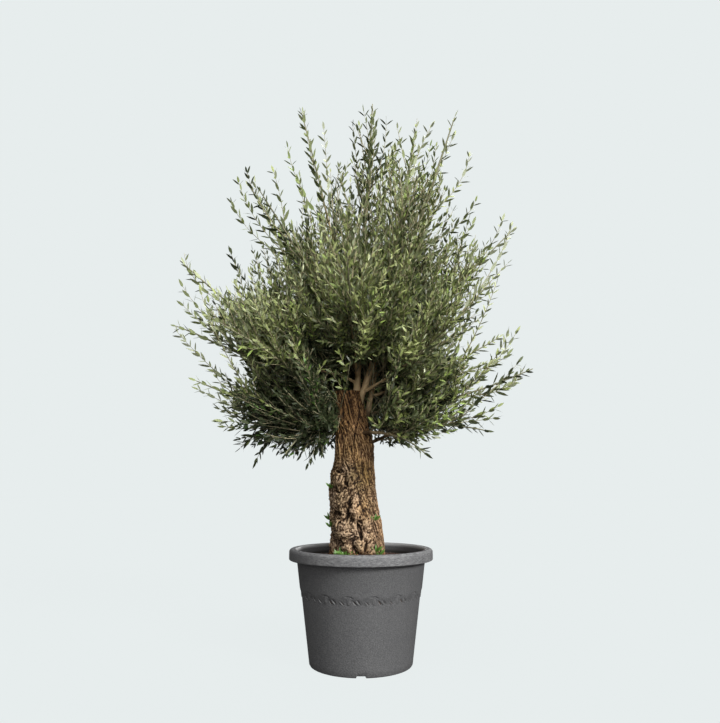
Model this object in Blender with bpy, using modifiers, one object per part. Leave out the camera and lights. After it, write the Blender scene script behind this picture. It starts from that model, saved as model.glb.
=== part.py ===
"""Olive bonsai: an old gnarled trunk with a regrown crown, in a round grey planter.

The pot, its root ball, the trunk, the boughs and the masses of foliage are separate
solids. Every bough and the stem of its mass are two lengths of one curve, so the stem
grows on from the bough's tip. Units are metres, +Z is up, the viewer stands at -Y, and
the origin is the centre of the flat underside of the pot.
"""

import math

import bmesh
import bpy
import numpy as np
from mathutils import Matrix, Vector

OBJECT_NAME = "olive_bonsai"
GAP = 0.0003
MERGE = 0.00001
UP = np.array([0.0, 0.0, 1.0])

# Pot: outer sizes, the moulded step under its garland, and the folded rim
POT_HEIGHT = 0.447
FOOT_RADIUS = 0.2094
WALL_TAPER = 0.1337
WALL = 0.005
STEP_LOW = 0.261
STEP_HIGH = 0.271
STEP_DEPTH = 0.0045
RIM_RADIUS = 0.300
RIM_BOTTOM = 0.404
RIM_OUTER_ROUND = 0.012
RIM_INNER_ROUND = 0.010
RIM_INNER_RADIUS = 0.2665
RIM_LIP = 0.006
RIM_GROOVE_TOP = 0.430
FOOT_ROUND = 0.004
FLOOR_TOP = 0.015
TURNED_SIDES = 36

# Underside: a foot ring, a drained channel inside it, and a flat middle
FOOT_RING_WIDTH = 0.023
CHANNEL_HEIGHT = 0.009
CHANNEL_INNER_RADIUS = 0.120
CHANNEL_SLOPE = 0.005
NOTCH_COUNT = 3
NOTCH_WIDTH = 0.039
NOTCH_TOP_WIDTH = 0.031
NOTCH_HEIGHT = 0.007
FRONT = math.radians(270)

# Root ball, flat on top, where the trunk stands on it
SOIL_TOP = 0.405

# Trunk: height, left edge and right edge of its front view, up to the old saw cut
TRUNK_VIEW = (
    (0.405, -0.128, 0.106),
    (0.500, -0.124, 0.097),
    (0.580, -0.127, 0.084),
    (0.660, -0.132, 0.065),
    (0.757, -0.127, 0.053),
    (0.820, -0.107, 0.048),
    (0.886, -0.101, 0.046),
    (0.940, -0.103, 0.022),
    (1.050, -0.111, 0.008),
    (1.110, -0.117, -0.003),
)
TRUNK_DEPTH = 0.94
TRUNK_RINGS = 18
TRUNK_SIDES = 24
# Its lobes: how many, how deep, the turn that they start at, their twist with height
TRUNK_LOBES = ((3, 0.050, 2.1, 5.0), (5, 0.030, 0.4, -7.0), (2, 0.030, 1.2, 3.0))
FLARE_HEIGHT = 0.10
FLARE_LOBES, FLARE_DEPTH, FLARE_TURN = 6, 0.06, 1.0
# How far from the trunk's middle to its bark a bough starts
BOUGH_START = 0.60

# Crown: its axis, and one bough with one mass for each row of a tier.
# A row holds a name, the limb that the bough leaves, where on that limb (a height on the
# trunk, a share of a bough), and the mass's tip: compass angle, reach and height.
CROWN_X = -0.03
TIERS = (
    {
        "bare": 0.36, "bow": 0.00, "lift": 0.25, "radius": 0.0135, "rows": (
            ("crest", "trunk", 1.075, 345, 0.09, 2.53),
            ("upper_right", "trunk", 1.030, 335, 0.50, 2.33),
            ("top_right", "trunk", 0.890, 22, 0.33, 2.47),
        ),
    },
    {
        "bare": 0.32, "bow": 0.06, "lift": 0.25, "radius": 0.0085, "rows": (
            ("back_middle", "trunk", 1.030, 92, 0.70, 1.42),
            ("back_left_middle", "trunk", 0.985, 140, 0.72, 1.36),
            ("back_right_middle", "trunk", 0.960, 48, 0.67, 1.38),
            ("left_middle", "trunk", 0.955, 184, 0.80, 1.40),
        ),
    },
    {
        "bare": 0.36, "bow": 0.02, "lift": 0.25, "radius": 0.0062, "rows": (
            ("top_left", "crest", 0.42, 186, 0.26, 2.48),
            ("upper_left", "crest", 0.30, 172, 0.52, 2.14),
            ("back_top", "crest", 0.52, 95, 0.42, 2.24),
            ("right_spike", "top_right", 0.50, 2, 0.75, 1.89),
            ("front_left_upper", "crest", 0.36, 228, 0.56, 1.86),
            ("front_right_upper", "upper_right", 0.34, 296, 0.50, 1.84),
            ("back_left_upper", "crest", 0.24, 132, 0.64, 1.94),
            ("back_right_upper", "top_right", 0.58, 55, 0.62, 1.96),
        ),
    },
    {
        "bare": 0.34, "bow": -0.04, "lift": 0.10, "radius": 0.0056, "rows": (
            ("left_spike", "crest", 0.14, 178, 0.82, 1.74),
            ("left_low", "left_middle", 0.22, 200, 0.68, 1.12),
            ("front_middle", "crest", 0.19, 268, 0.62, 1.52),
            ("front_left_middle", "left_spike", 0.18, 222, 0.72, 1.32),
            ("front_right_middle", "upper_right", 0.16, 318, 0.54, 1.34),
            ("right_middle", "top_right", 0.36, 10, 0.69, 1.39),
            ("right_low", "top_right", 0.22, 354, 0.78, 1.20),
        ),
    },
    {
        "bare": 0.34, "bow": 0.10, "lift": -0.25, "radius": 0.0065, "rows": (
            ("front_left_bottom", "trunk", 1.000, 232, 0.42, 0.82),
            ("front_right_bottom", "trunk", 0.925, 322, 0.36, 0.83),
            ("right_bottom", "trunk", 0.870, 348, 0.56, 0.93),
            ("left_bottom", "left_middle", 0.45, 176, 0.50, 0.87),
            ("back_left_bottom", "back_left_middle", 0.35, 124, 0.55, 0.92),
            ("back_right_bottom", "back_right_middle", 0.35, 56, 0.55, 0.94),
        ),
    },
)
# Crown outline: height, reach to the left and reach to the right of its axis
CROWN_OUTLINE = (
    (0.77, 0.28, 0.16),
    (0.85, 0.46, 0.34),
    (0.92, 0.54, 0.50),
    (1.00, 0.60, 0.64),
    (1.20, 0.72, 0.79),
    (1.40, 0.83, 0.73),
    (1.50, 0.82, 0.62),
    (1.74, 0.83, 0.72),
    (1.90, 0.60, 0.76),
    (2.15, 0.55, 0.58),
    (2.35, 0.36, 0.50),
    (2.49, 0.28, 0.32),
    (2.54, 0.12, 0.18),
)
CROWN_DEPTH = 0.94
FORK_TAPER = 0.7
STEM_TO_BOUGH = 0.9
TIP_RADIUS = 0.0024
TAPER_CURVE = 0.8
LAST_STRETCH = 0.97
BOUGH_POINTS = 6
STEM_POINTS = 5
POINT_CROWDING = 1.5
# Bevel resolution of boughs from the trunk, of the others and of stems
COARSE_BEVEL, FINE_BEVEL = 1, 2
STEM_BEVEL = 0

# Foliage: each leaf here stands for a spray of real ones
SEED = 27
SHOOTS = 5
SHOOT_FIRST = 0.04
SHOOT_LAST = 0.66
SHOOT_LENGTH = 0.28
SHOOT_SHORTENS = 0.60
SHOOT_ANGLE = math.radians(46)
SHOOT_TRIES = (1.0, 0.75, 0.5)
SHOOT_STEPS = (0.35, 0.7, 1.0)
SHOOT_VARIES = (0.85, 1.10)
SHOOT_RADIUS = 0.0046
SHOOT_TIP_RADIUS = 0.0017
SHOOT_TO_STEM = 0.8
GOLDEN_ANGLE = math.radians(137.5)
LEAF_LENGTH = 0.220
LEAF_WIDTH = 0.076
LEAF_THICKNESS = 0.012
LEAF_ANGLE = math.radians(36)
LEAF_ANGLE_VARIES = (0.85, 1.15)
LEAF_WIDEST = 0.40
LEAF_SINK = 0.85
LEAF_CLEAR = 0.034
SPINE_SHARES = np.array([[0.3], [0.6], [0.8], [1.0]])
END_LEAF_SINK = 0.028
END_LEAF_TURN = math.radians(25)
LEAF_TRIES = (1.0, 0.8, 0.62)
LEAF_SHRINKS = 0.45
LEAF_SHARES = (0.28, 0.46, 0.64, 0.82)
STEM_LEAF_SHARES = (0.66, 0.76, 0.86, 0.93)
THIRD = math.tau / 3
SQUARE = math.radians(90)
SPACE_GAP = 0.010
LIMB_GAP = 0.004


def new_material(name, colour, roughness):
    """A Principled material with one plain colour."""
    material = bpy.data.materials.new(name)
    material.use_nodes = True
    shader = material.node_tree.nodes["Principled BSDF"]
    shader.inputs["Base Color"].default_value = (*colour, 1.0)
    shader.inputs["Roughness"].default_value = roughness
    shader.inputs["Metallic"].default_value = 0.0
    return material


def new_object(name, mesh, collection, material=None):
    """Links a mesh to a collection under a name, with its material."""
    mesh.name = name
    thing = bpy.data.objects.new(name, mesh)
    collection.objects.link(thing)
    if material is not None:
        mesh.materials.clear()
        mesh.materials.append(material)
    return thing


def new_cutter(name, mesh, collection):
    """A shape that only cuts others: it isn't rendered and shows as wires."""
    cutter = new_object(name, mesh, collection)
    cutter.hide_render = True
    cutter.display_type = "WIRE"
    return cutter


def cut_by(thing, cutter):
    """Takes one closed shape away from another."""
    cut = thing.modifiers.new("seat", "BOOLEAN")
    cut.operation = "DIFFERENCE"
    cut.object = cutter


def turned(name, profile, collection, material):
    """A profile of (radius, height) pairs, turned about the Z axis."""
    mesh = bpy.data.meshes.new(name)
    edges = [(i, i + 1) for i in range(len(profile) - 1)]
    mesh.from_pydata([(radius, 0.0, height) for radius, height in profile], edges, [])
    thing = new_object(name, mesh, collection, material)
    screw = thing.modifiers.new("turned", "SCREW")
    screw.steps = TURNED_SIDES
    screw.render_steps = TURNED_SIDES
    screw.use_merge_vertices = True
    screw.merge_threshold = MERGE
    screw.use_smooth_shade = True
    return thing


def arc(centre, radius, start, end, steps):
    """Points on a circular arc between two angles in degrees."""
    angles = np.radians(np.linspace(start, end, steps))
    return [(centre[0] + radius * math.cos(a), centre[1] + radius * math.sin(a)) for a in angles]


def wall_radius(height):
    """Outer radius of the pot's tapered wall, which steps out at the garland."""
    share = min(max((height - STEP_LOW) / (STEP_HIGH - STEP_LOW), 0.0), 1.0)
    return FOOT_RADIUS + WALL_TAPER * height + STEP_DEPTH * share


def wall_heights(low, high):
    """Heights at which the wall changes its slope, from low to high."""
    return (low, STEP_LOW, STEP_HIGH, high)


def pot_profile():
    """The pot's section, from the middle of its floor up, over the rim and down."""
    inner = [(wall_radius(z) - WALL, z) for z in wall_heights(FLOOR_TOP, RIM_GROOVE_TOP)]
    inner_round = (RIM_INNER_RADIUS + RIM_INNER_ROUND, POT_HEIGHT - RIM_INNER_ROUND)
    outer_round = (RIM_RADIUS - RIM_OUTER_ROUND, POT_HEIGHT - RIM_OUTER_ROUND)
    crest = arc(inner_round, RIM_INNER_ROUND, 180, 90, 3)
    crest += arc(outer_round, RIM_OUTER_ROUND, 90, 0, 4)
    lip = [
        (RIM_RADIUS, RIM_BOTTOM),
        (RIM_RADIUS - RIM_LIP, RIM_BOTTOM),
        (RIM_RADIUS - RIM_LIP, RIM_GROOVE_TOP),
    ]
    outer = [(wall_radius(z), z) for z in wall_heights(FOOT_ROUND, RIM_GROOVE_TOP)][::-1]
    ring_inner = FOOT_RADIUS - FOOT_RING_WIDTH
    under = [
        (FOOT_RADIUS - FOOT_ROUND / 2, 0.0),
        (ring_inner, 0.0),
        (ring_inner - CHANNEL_SLOPE, CHANNEL_HEIGHT),
        (CHANNEL_INNER_RADIUS + CHANNEL_SLOPE, CHANNEL_HEIGHT),
        (CHANNEL_INNER_RADIUS, 0.0),
        (0.0, 0.0),
    ]
    return [(0.0, FLOOR_TOP)] + inner + crest + lip + outer + under


def notch_mesh():
    """A wedge through the foot ring at +X, narrower at its top."""
    box = bmesh.new()
    bmesh.ops.create_cube(box, size=1.0)
    length = FOOT_RING_WIDTH + 3 * CHANNEL_SLOPE
    for corner in box.verts:
        on_top = corner.co.z > 0
        corner.co.x = FOOT_RADIUS - FOOT_RING_WIDTH / 2 + corner.co.x * length
        corner.co.y *= NOTCH_TOP_WIDTH if on_top else NOTCH_WIDTH
        corner.co.z = NOTCH_HEIGHT if on_top else -NOTCH_HEIGHT
    mesh = bpy.data.meshes.new("notch")
    box.to_mesh(mesh)
    box.free()
    return mesh


def build_pot(parts, cutters, material):
    """The planter, with three notches that drain the channel under its floor."""
    pot = turned("pot", pot_profile(), parts, material)
    for index in range(NOTCH_COUNT):
        notch = new_cutter(f"notch_{index + 1}", notch_mesh(), cutters)
        notch.rotation_euler.z = FRONT + index * math.tau / NOTCH_COUNT
        cut_by(pot, notch)
    return pot


def build_root_ball(parts, material):
    """Soil that fills the pot to a little below its rim."""
    side = [(wall_radius(z) - WALL - GAP, z) for z in wall_heights(FLOOR_TOP + GAP, SOIL_TOP)][::-1]
    profile = [(0.0, SOIL_TOP)] + side + [(0.0, FLOOR_TOP + GAP)]
    return turned("root_ball", profile, parts, material)


def trunk_edges(height):
    """The trunk's left and right edges at a height, from its front view."""
    heights, left, right = (np.array(column) for column in zip(*TRUNK_VIEW))
    return np.interp(height, heights, left), np.interp(height, heights, right)


def trunk_centre(height):
    """The middle of the trunk at a height."""
    left, right = trunk_edges(height)
    return np.array([(left + right) / 2, 0.0, float(height)])


def trunk_ring(height, grow=0.0):
    """One lobed section of the trunk, kept to its edges in the front view."""
    left, right = trunk_edges(height)
    angles = np.arange(TRUNK_SIDES) * math.tau / TRUNK_SIDES
    flare = max(0.0, 1.0 - (height - SOIL_TOP) / FLARE_HEIGHT)
    radius = np.ones(TRUNK_SIDES)
    for count, size, start, twist in TRUNK_LOBES:
        radius += size * np.cos(count * angles + start + twist * height)
    radius += FLARE_DEPTH * flare * np.cos(FLARE_LOBES * angles + FLARE_TURN)
    across = radius * np.cos(angles)
    across = (across - across.min()) / (across.max() - across.min())
    half = (right - left) / 2 * TRUNK_DEPTH
    x = left - grow + across * (right - left + 2 * grow)
    y = radius * np.sin(angles) * (half + grow)
    return np.column_stack([x, y, np.full(TRUNK_SIDES, height)])


def trunk_mesh(grow=0.0):
    """The trunk's sections lofted into a closed solid with flat ends."""
    low, high = SOIL_TOP + GAP, TRUNK_VIEW[-1][0]
    heights = np.linspace(low, high, TRUNK_RINGS)
    rings = [trunk_ring(height, grow) for height in heights]
    rings[-1][:, 2] += grow
    loft = bmesh.new()
    rows = [[loft.verts.new(point) for point in ring] for ring in rings]
    for lower, upper in zip(rows, rows[1:]):
        for i in range(TRUNK_SIDES):
            j = (i + 1) % TRUNK_SIDES
            loft.faces.new((lower[i], lower[j], upper[j], upper[i]))
    loft.faces.new(rows[0][::-1])
    loft.faces.new(rows[-1])
    mesh = bpy.data.meshes.new("trunk")
    loft.to_mesh(mesh)
    loft.free()
    return mesh


def bent(start, tip, bow, shares):
    """Points on a quadratic curve that rises from the straight line by the bow."""
    along = tip - start
    length = np.linalg.norm(along)
    rise = UP - along * (UP @ along) / length**2
    middle = (start + tip) / 2 + rise * bow * length * 2
    t = np.asarray(shares, float)[:, None]
    return (1 - t) ** 2 * start + 2 * t * (1 - t) * middle + t**2 * tip


def tube_mesh(name, points, radii, bevel):
    """A tapering tube through some points, with closed ends and 4 sides or more."""
    curve = bpy.data.curves.new(name, "CURVE")
    curve.dimensions = "3D"
    curve.bevel_depth = 1.0
    curve.bevel_resolution = bevel
    curve.use_fill_caps = True
    spline = curve.splines.new("POLY")
    spline.points.add(len(points) - 1)
    for place, point, radius in zip(spline.points, points, radii):
        place.co = (*point, 1.0)
        place.radius = radius
    guide = bpy.data.objects.new(name, curve)
    mesh = bpy.data.meshes.new_from_object(guide)
    bpy.data.objects.remove(guide)
    bpy.data.curves.remove(curve)
    body = bmesh.new()
    body.from_mesh(mesh)
    bmesh.ops.remove_doubles(body, verts=body.verts, dist=MERGE)
    bmesh.ops.recalc_face_normals(body, faces=body.faces)
    body.to_mesh(mesh)
    body.free()
    return mesh


class Limb:
    """A bough and the stem of its mass: two lengths of one tapering curve."""

    def __init__(self, row, tier, limbs):
        self.name, self.parent, fork, angle, reach, height = row
        turn = math.radians(angle)
        outward = np.array([math.cos(turn), math.sin(turn), 0.0])
        self.tip = np.array([CROWN_X, 0.0, height]) + reach * outward
        self.bare = tier["bare"]
        self.bow = tier["bow"]
        self.lift = tier["lift"]
        self.radius = tier["radius"]
        self.bevel = FINE_BEVEL if self.parent == "trunk" else COARSE_BEVEL
        if self.parent == "trunk":
            left, right = trunk_edges(fork)
            self.start = trunk_centre(fork) + BOUGH_START * (right - left) / 2 * outward
        else:
            carrier = limbs[self.parent]
            self.start = carrier.point(fork * carrier.bare)
            self.radius = min(self.radius, FORK_TAPER * carrier.radii(fork * carrier.bare))
        self.length = np.linalg.norm(self.tip - self.start)
        before, end = self.points([LAST_STRETCH, 1.0])
        self.ahead = (end - before) / np.linalg.norm(end - before)

    def points(self, shares):
        """Points at some shares of the curve."""
        return bent(self.start, self.tip, self.bow, shares)

    def point(self, share):
        """The point at one share of the curve."""
        return self.points([share])[0]

    def radii(self, shares):
        """The taper, from the bough's foot to the thin tip of the stem."""
        shares = np.asarray(shares, float)
        return TIP_RADIUS + (self.radius - TIP_RADIUS) * (1 - shares) ** TAPER_CURVE

    def stem_radii(self, shares):
        """The stem is a little thinner than the bough that it meets."""
        return STEM_TO_BOUGH * self.radii(shares)

    def bough_shares(self):
        """Where the bough's points lie, closer together towards its tip."""
        return self.bare * (1 - (1 - np.linspace(0.0, 1.0, BOUGH_POINTS)) ** POINT_CROWDING)

    def stem_shares(self):
        """Where the stem's points lie: it starts a gap beyond the bough's tip."""
        first = self.bare + GAP / self.length
        return first + (1 - first) * np.linspace(0.0, 1.0, STEM_POINTS) ** POINT_CROWDING

    def bough_mesh(self, grow=0.0):
        """The bough's own tube, thicker on its flats by a gap where it shapes a seat."""
        shares = self.bough_shares()
        sides = 4 + 2 * self.bevel
        radii = self.radii(shares) + grow / math.cos(math.pi / sides)
        return tube_mesh(self.name, self.points(shares), radii, self.bevel)


def grow_limbs():
    """Every limb of the crown by name, each after the limb that it leaves."""
    limbs = {}
    for tier in TIERS:
        for row in tier["rows"]:
            limbs[row[0]] = Limb(row, tier, limbs)
    return limbs


def distance_to_path(point, path):
    """The shortest way from a point to a line of points."""
    start, along = path[:-1], np.diff(path, axis=0)
    share = np.sum((point - start) * along, axis=1) / np.sum(along**2, axis=1)
    nearest = start + np.clip(share, 0.0, 1.0)[:, None] * along
    return np.min(np.linalg.norm(point - nearest, axis=1))


def build_boughs(limbs, parts, cutters, material):
    """The boughs, each cut to sit against the limb that it leaves."""
    seats = {"trunk": new_cutter("seat_trunk", trunk_mesh(GAP), cutters)}
    for limb in limbs.values():
        if limb.parent not in seats:
            seat = limbs[limb.parent].bough_mesh(GAP)
            seats[limb.parent] = new_cutter(f"seat_{limb.parent}", seat, cutters)
        mesh = limb.bough_mesh()
        mesh.shade_smooth()
        bough = new_object(f"bough_{limb.name}", mesh, parts, material)
        cut_by(bough, seats[limb.parent])


def inside_crown(point):
    """True where a point lies within the crown's outline, between its sides by angle."""
    heights, left, right = (np.array(column) for column in zip(*CROWN_OUTLINE))
    away = math.hypot(point[0] - CROWN_X, point[1])
    if not heights[0] < point[2] < heights[-1] or away == 0.0:
        return False
    sideways = (point[0] - CROWN_X) / away
    left_reach = np.interp(point[2], heights, left)
    right_reach = np.interp(point[2], heights, right)
    reach = CROWN_DEPTH * (left_reach + right_reach) / 2 * (1 - sideways**2)
    reach += (right_reach if sideways > 0 else left_reach) * sideways**2
    return away < reach


class Space:
    """The room that the masses share: every point belongs to the nearest stem."""

    def __init__(self, limbs):
        self.stems = {name: limb.points(limb.stem_shares()) for name, limb in limbs.items()}
        self.solids = [(limb.points(limb.bough_shares()), limb.radius) for limb in limbs.values()]
        heights = np.linspace(CROWN_OUTLINE[0][0], TRUNK_VIEW[-1][0], TRUNK_RINGS)
        edges = [trunk_edges(height) for height in heights]
        widest = max(right - left for left, right in edges) / 2
        self.solids.append((np.array([trunk_centre(height) for height in heights]), widest))

    def holds(self, limb, points):
        """True where points are in the crown, clear of limbs and in the mass's own room."""
        name = limb.name
        for point in points:
            if (point - limb.tip) @ limb.ahead > 0 or not inside_crown(point):
                return False
            own = distance_to_path(point, self.stems[name])
            others = (path for other, path in self.stems.items() if other != name)
            if any(distance_to_path(point, path) < own + SPACE_GAP for path in others):
                return False
            for path, radius in self.solids:
                if distance_to_path(point, path) < radius + LIMB_GAP:
                    return False
        return True


def side_directions(along):
    """Two directions square to a path and to each other."""
    across = np.cross(along, UP)
    if np.linalg.norm(across) < 0.1:
        across = np.cross(along, [1.0, 0.0, 0.0])
    across /= np.linalg.norm(across)
    return across, np.cross(across, along)


def leaning(along, angle, turn):
    """A direction that leaves a path at an angle, turned about it."""
    across, over = side_directions(along)
    side = math.cos(turn) * across + math.sin(turn) * over
    return math.cos(angle) * along + math.sin(angle) * side


def frame_matrix(origin, along, face):
    """A matrix whose Z axis runs along a leaf or shoot and whose Y axis is its face."""
    z = Vector(along).normalized()
    x = Vector(face).cross(z).normalized()
    y = z.cross(x)
    turn = Matrix((x, y, z)).transposed().to_4x4()
    return Matrix.Translation(Vector(origin)) @ turn


def leaf_mesh():
    """Eight faces: a long diamond with its root at the origin and its tip up Z."""
    leaf = bmesh.new()
    bmesh.ops.create_uvsphere(leaf, u_segments=4, v_segments=2, radius=1.0)
    for corner in leaf.verts:
        level = round(corner.co.z)
        corner.co.x *= LEAF_WIDTH / 2
        corner.co.y *= LEAF_THICKNESS / 2
        corner.co.z = {-1: 0.0, 0: LEAF_WIDEST, 1: 1.0}[level] * LEAF_LENGTH
    mesh = bpy.data.meshes.new("leaf")
    leaf.to_mesh(mesh)
    leaf.free()
    return mesh


def shoot_mesh(length, foot):
    """A three-sided tapering shoot with its foot at the origin, up Z."""
    shoot = bmesh.new()
    bmesh.ops.create_cone(
        shoot, cap_ends=True, segments=3, depth=length,
        radius1=foot, radius2=min(foot, SHOOT_TIP_RADIUS),
        matrix=Matrix.Translation((0.0, 0.0, length / 2)),
    )
    mesh = bpy.data.meshes.new("shoot")
    shoot.to_mesh(mesh)
    shoot.free()
    return mesh


class Mass:
    """One mass of foliage, grown along its stem by a seeded rule."""

    def __init__(self, limb, index, space, leaf):
        self.limb, self.space, self.leaf = limb, space, leaf
        self.chance = np.random.default_rng(SEED + index)
        self.pieces = []
        self.leaves = []

    def add(self, mesh, matrix):
        """Keeps a placed copy of a mesh for the union."""
        mesh.transform(matrix)
        self.pieces.append(mesh)

    def add_leaf(self, root, along, face, outward):
        """A leaf with its root in its twig, as large as has room, smaller further out."""
        for share in LEAF_TRIES:
            size = share * (1 - LEAF_SHRINKS * outward)
            matrix = frame_matrix(root, along, face) @ Matrix.Scale(size, 4)
            corners = [np.array(matrix @ corner.co) for corner in self.leaf.vertices]
            outer = [corner for corner in corners if np.linalg.norm(corner - root) > LEAF_THICKNESS]
            spine = root + along * LEAF_LENGTH * size * SPINE_SHARES
            clear = all(distance_to_path(point, other) > LEAF_CLEAR
                        for other in self.leaves for point in spine)
            if clear and self.space.holds(self.limb, outer):
                self.add(self.leaf.copy(), matrix)
                self.leaves.append(spine)
                return

    def add_side_leaf(self, place, along, turn, radius, outward):
        """A leaf that leaves a twig at an angle, its root sunk by a share of the twig."""
        angle = LEAF_ANGLE * self.chance.uniform(*LEAF_ANGLE_VARIES)
        way = leaning(along, angle, turn)
        self.add_leaf(place - way * radius * LEAF_SINK, way, along, outward)

    def add_shoot(self, root, along, length, stem_radius, outward):
        """A side shoot with leaves out of its three faces in turn, and one at its tip."""
        for share in SHOOT_TRIES:
            reach = length * share
            way = [root + along * reach * step for step in SHOOT_STEPS]
            if self.space.holds(self.limb, way):
                break
        else:
            return
        across, _ = side_directions(along)
        foot = min(SHOOT_RADIUS, SHOOT_TO_STEM * stem_radius)
        self.add(shoot_mesh(reach, foot), frame_matrix(root, along, across))
        face = leaning(along, SQUARE, END_LEAF_TURN)
        self.add_leaf(root + along * (reach - END_LEAF_SINK), along, face, outward)
        side = self.chance.integers(3)
        for share in LEAF_SHARES[::-1]:
            radius = foot + (SHOOT_TIP_RADIUS - foot) * share
            place = root + along * reach * share
            self.add_side_leaf(place, along, (side + 0.5) * THIRD, radius, outward)
            side += 1

    def grow(self):
        """Shoots round the stem by the golden angle, then leaves at its end."""
        first = self.limb.stem_shares()[0]
        turn = self.chance.uniform(0, math.tau)
        ahead = self.limb.ahead
        face = leaning(ahead, SQUARE, END_LEAF_TURN)
        self.add_leaf(self.limb.tip - ahead * LEAF_LENGTH * (1 - LEAF_SHRINKS), ahead, face, 1.0)
        for index in range(SHOOTS):
            outward = SHOOT_FIRST + (SHOOT_LAST - SHOOT_FIRST) * index / (SHOOTS - 1)
            share = first + (1 - first) * outward
            root, beyond = self.limb.points([share, share + 0.01])
            along = (beyond - root) / np.linalg.norm(beyond - root)
            way = leaning(along, SHOOT_ANGLE, turn) + self.limb.lift * UP
            way /= np.linalg.norm(way)
            length = SHOOT_LENGTH * (1 - SHOOT_SHORTENS * outward)
            length *= self.chance.uniform(*SHOOT_VARIES)
            self.add_shoot(root, way, length, self.limb.stem_radii(share), outward)
            turn += GOLDEN_ANGLE
        for outward in STEM_LEAF_SHARES[::-1]:
            share = first + (1 - first) * outward
            radius = self.limb.stem_radii(share)
            self.add_side_leaf(self.limb.point(share), ahead, turn, radius, outward)
            turn += GOLDEN_ANGLE


def keep_largest_shell(mesh):
    """Drops loose scraps and the walls of sealed hollows, which fills them."""
    body = bmesh.new()
    body.from_mesh(mesh)
    left = set(body.verts)
    shells = []
    while left:
        queue = [left.pop()]
        shell = set(queue)
        while queue:
            for edge in queue.pop().link_edges:
                for corner in edge.verts:
                    if corner in left:
                        left.remove(corner)
                        shell.add(corner)
                        queue.append(corner)
        shells.append(shell)
    shells.sort(key=len)
    for shell in shells[:-1]:
        bmesh.ops.delete(body, geom=list(shell), context="VERTS")
    body.to_mesh(mesh)
    body.free()


def build_mass(mass, parts, material):
    """One Boolean union joins the stem, its shoots and its leaves."""
    limb = mass.limb
    shares = limb.stem_shares()
    radii = limb.stem_radii(shares)
    mesh = tube_mesh(limb.name, limb.points(shares), radii, STEM_BEVEL)
    stem = new_object(f"foliage_{limb.name}", mesh, parts, material)
    loose = bpy.data.collections.new("loose")
    bpy.context.scene.collection.children.link(loose)
    for index, piece in enumerate(mass.pieces):
        new_object(f"{limb.name}_{index}", piece, loose)
    union = stem.modifiers.new("joined", "BOOLEAN")
    union.operation = "UNION"
    union.operand_type = "COLLECTION"
    union.collection = loose
    graph = bpy.context.evaluated_depsgraph_get()
    joined = bpy.data.meshes.new_from_object(stem.evaluated_get(graph))
    stem.modifiers.clear()
    stem.data = joined
    for piece in list(loose.objects):
        bpy.data.objects.remove(piece)
    bpy.data.collections.remove(loose)
    keep_largest_shell(joined)
    joined.materials.clear()
    joined.materials.append(material)


def build_tree(parts, cutters, bark, leaves):
    """The trunk, its boughs and the masses that they carry."""
    trunk = new_object("trunk", trunk_mesh(), parts, bark)
    trunk.data.shade_smooth()
    limbs = grow_limbs()
    build_boughs(limbs, parts, cutters, bark)
    space = Space(limbs)
    leaf = leaf_mesh()
    count = 0
    for index, limb in enumerate(limbs.values()):
        mass = Mass(limb, index, space, leaf)
        mass.grow()
        build_mass(mass, parts, leaves)
        count += len(mass.leaves)
    print(len(limbs), "masses,", count, "leaves")


def main():
    """Clears the scene and builds the plant in its pot."""
    for thing in list(bpy.data.objects):
        bpy.data.objects.remove(thing)
    parts = bpy.data.collections.new(OBJECT_NAME)
    cutters = bpy.data.collections.new("cutters")
    for collection in (parts, cutters):
        bpy.context.scene.collection.children.link(collection)
    build_pot(parts, cutters, new_material("grey_plastic", (0.105, 0.105, 0.105), 0.62))
    build_root_ball(parts, new_material("potting_soil", (0.020, 0.013, 0.009), 0.95))
    bark = new_material("olive_bark", (0.150, 0.100, 0.060), 0.90)
    leaves = new_material("olive_leaves", (0.085, 0.105, 0.045), 0.60)
    build_tree(parts, cutters, bark, leaves)


main()
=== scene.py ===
import math

import bpy
import numpy as np
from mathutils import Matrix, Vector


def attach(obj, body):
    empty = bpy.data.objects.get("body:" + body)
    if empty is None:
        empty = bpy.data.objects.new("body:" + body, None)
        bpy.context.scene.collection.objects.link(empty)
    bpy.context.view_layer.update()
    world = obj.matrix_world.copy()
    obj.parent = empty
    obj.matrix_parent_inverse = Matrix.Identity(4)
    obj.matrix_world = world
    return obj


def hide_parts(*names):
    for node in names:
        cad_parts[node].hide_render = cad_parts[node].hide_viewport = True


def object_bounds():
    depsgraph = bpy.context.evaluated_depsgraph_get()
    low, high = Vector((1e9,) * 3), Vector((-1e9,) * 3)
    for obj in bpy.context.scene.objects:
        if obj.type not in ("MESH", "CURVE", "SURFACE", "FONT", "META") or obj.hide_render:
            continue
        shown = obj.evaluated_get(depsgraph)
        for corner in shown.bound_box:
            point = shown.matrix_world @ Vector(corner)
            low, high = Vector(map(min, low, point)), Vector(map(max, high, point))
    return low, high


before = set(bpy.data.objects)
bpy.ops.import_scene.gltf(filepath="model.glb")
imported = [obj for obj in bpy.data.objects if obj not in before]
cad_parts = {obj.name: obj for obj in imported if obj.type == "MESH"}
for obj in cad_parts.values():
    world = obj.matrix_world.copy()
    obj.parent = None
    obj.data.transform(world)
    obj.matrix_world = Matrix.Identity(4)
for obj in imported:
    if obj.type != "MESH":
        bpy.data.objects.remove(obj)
cad_low, cad_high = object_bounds()

# Studio
# A plain pale floor that runs to the horizon, a soft pale sky all round, and large soft
# lamps. The camera stands in front of the plant at knee height and looks up a little.
PAPER = (231, 237, 237)
SKY_LIGHT = 0.27
FLOOR_HALF_WIDTH = 40.0
FLOOR_DROP = 0.0005
FLOOR_MATT = 0.015
FLOOR_GLOW = 0.990
FLOOR_BOUNCE = 0.12
CAMERA_PLACE = (-0.004, -2.645, 0.692)
CAMERA_RISE = math.radians(11.9)
CAMERA_LENS = 30.0
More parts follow.
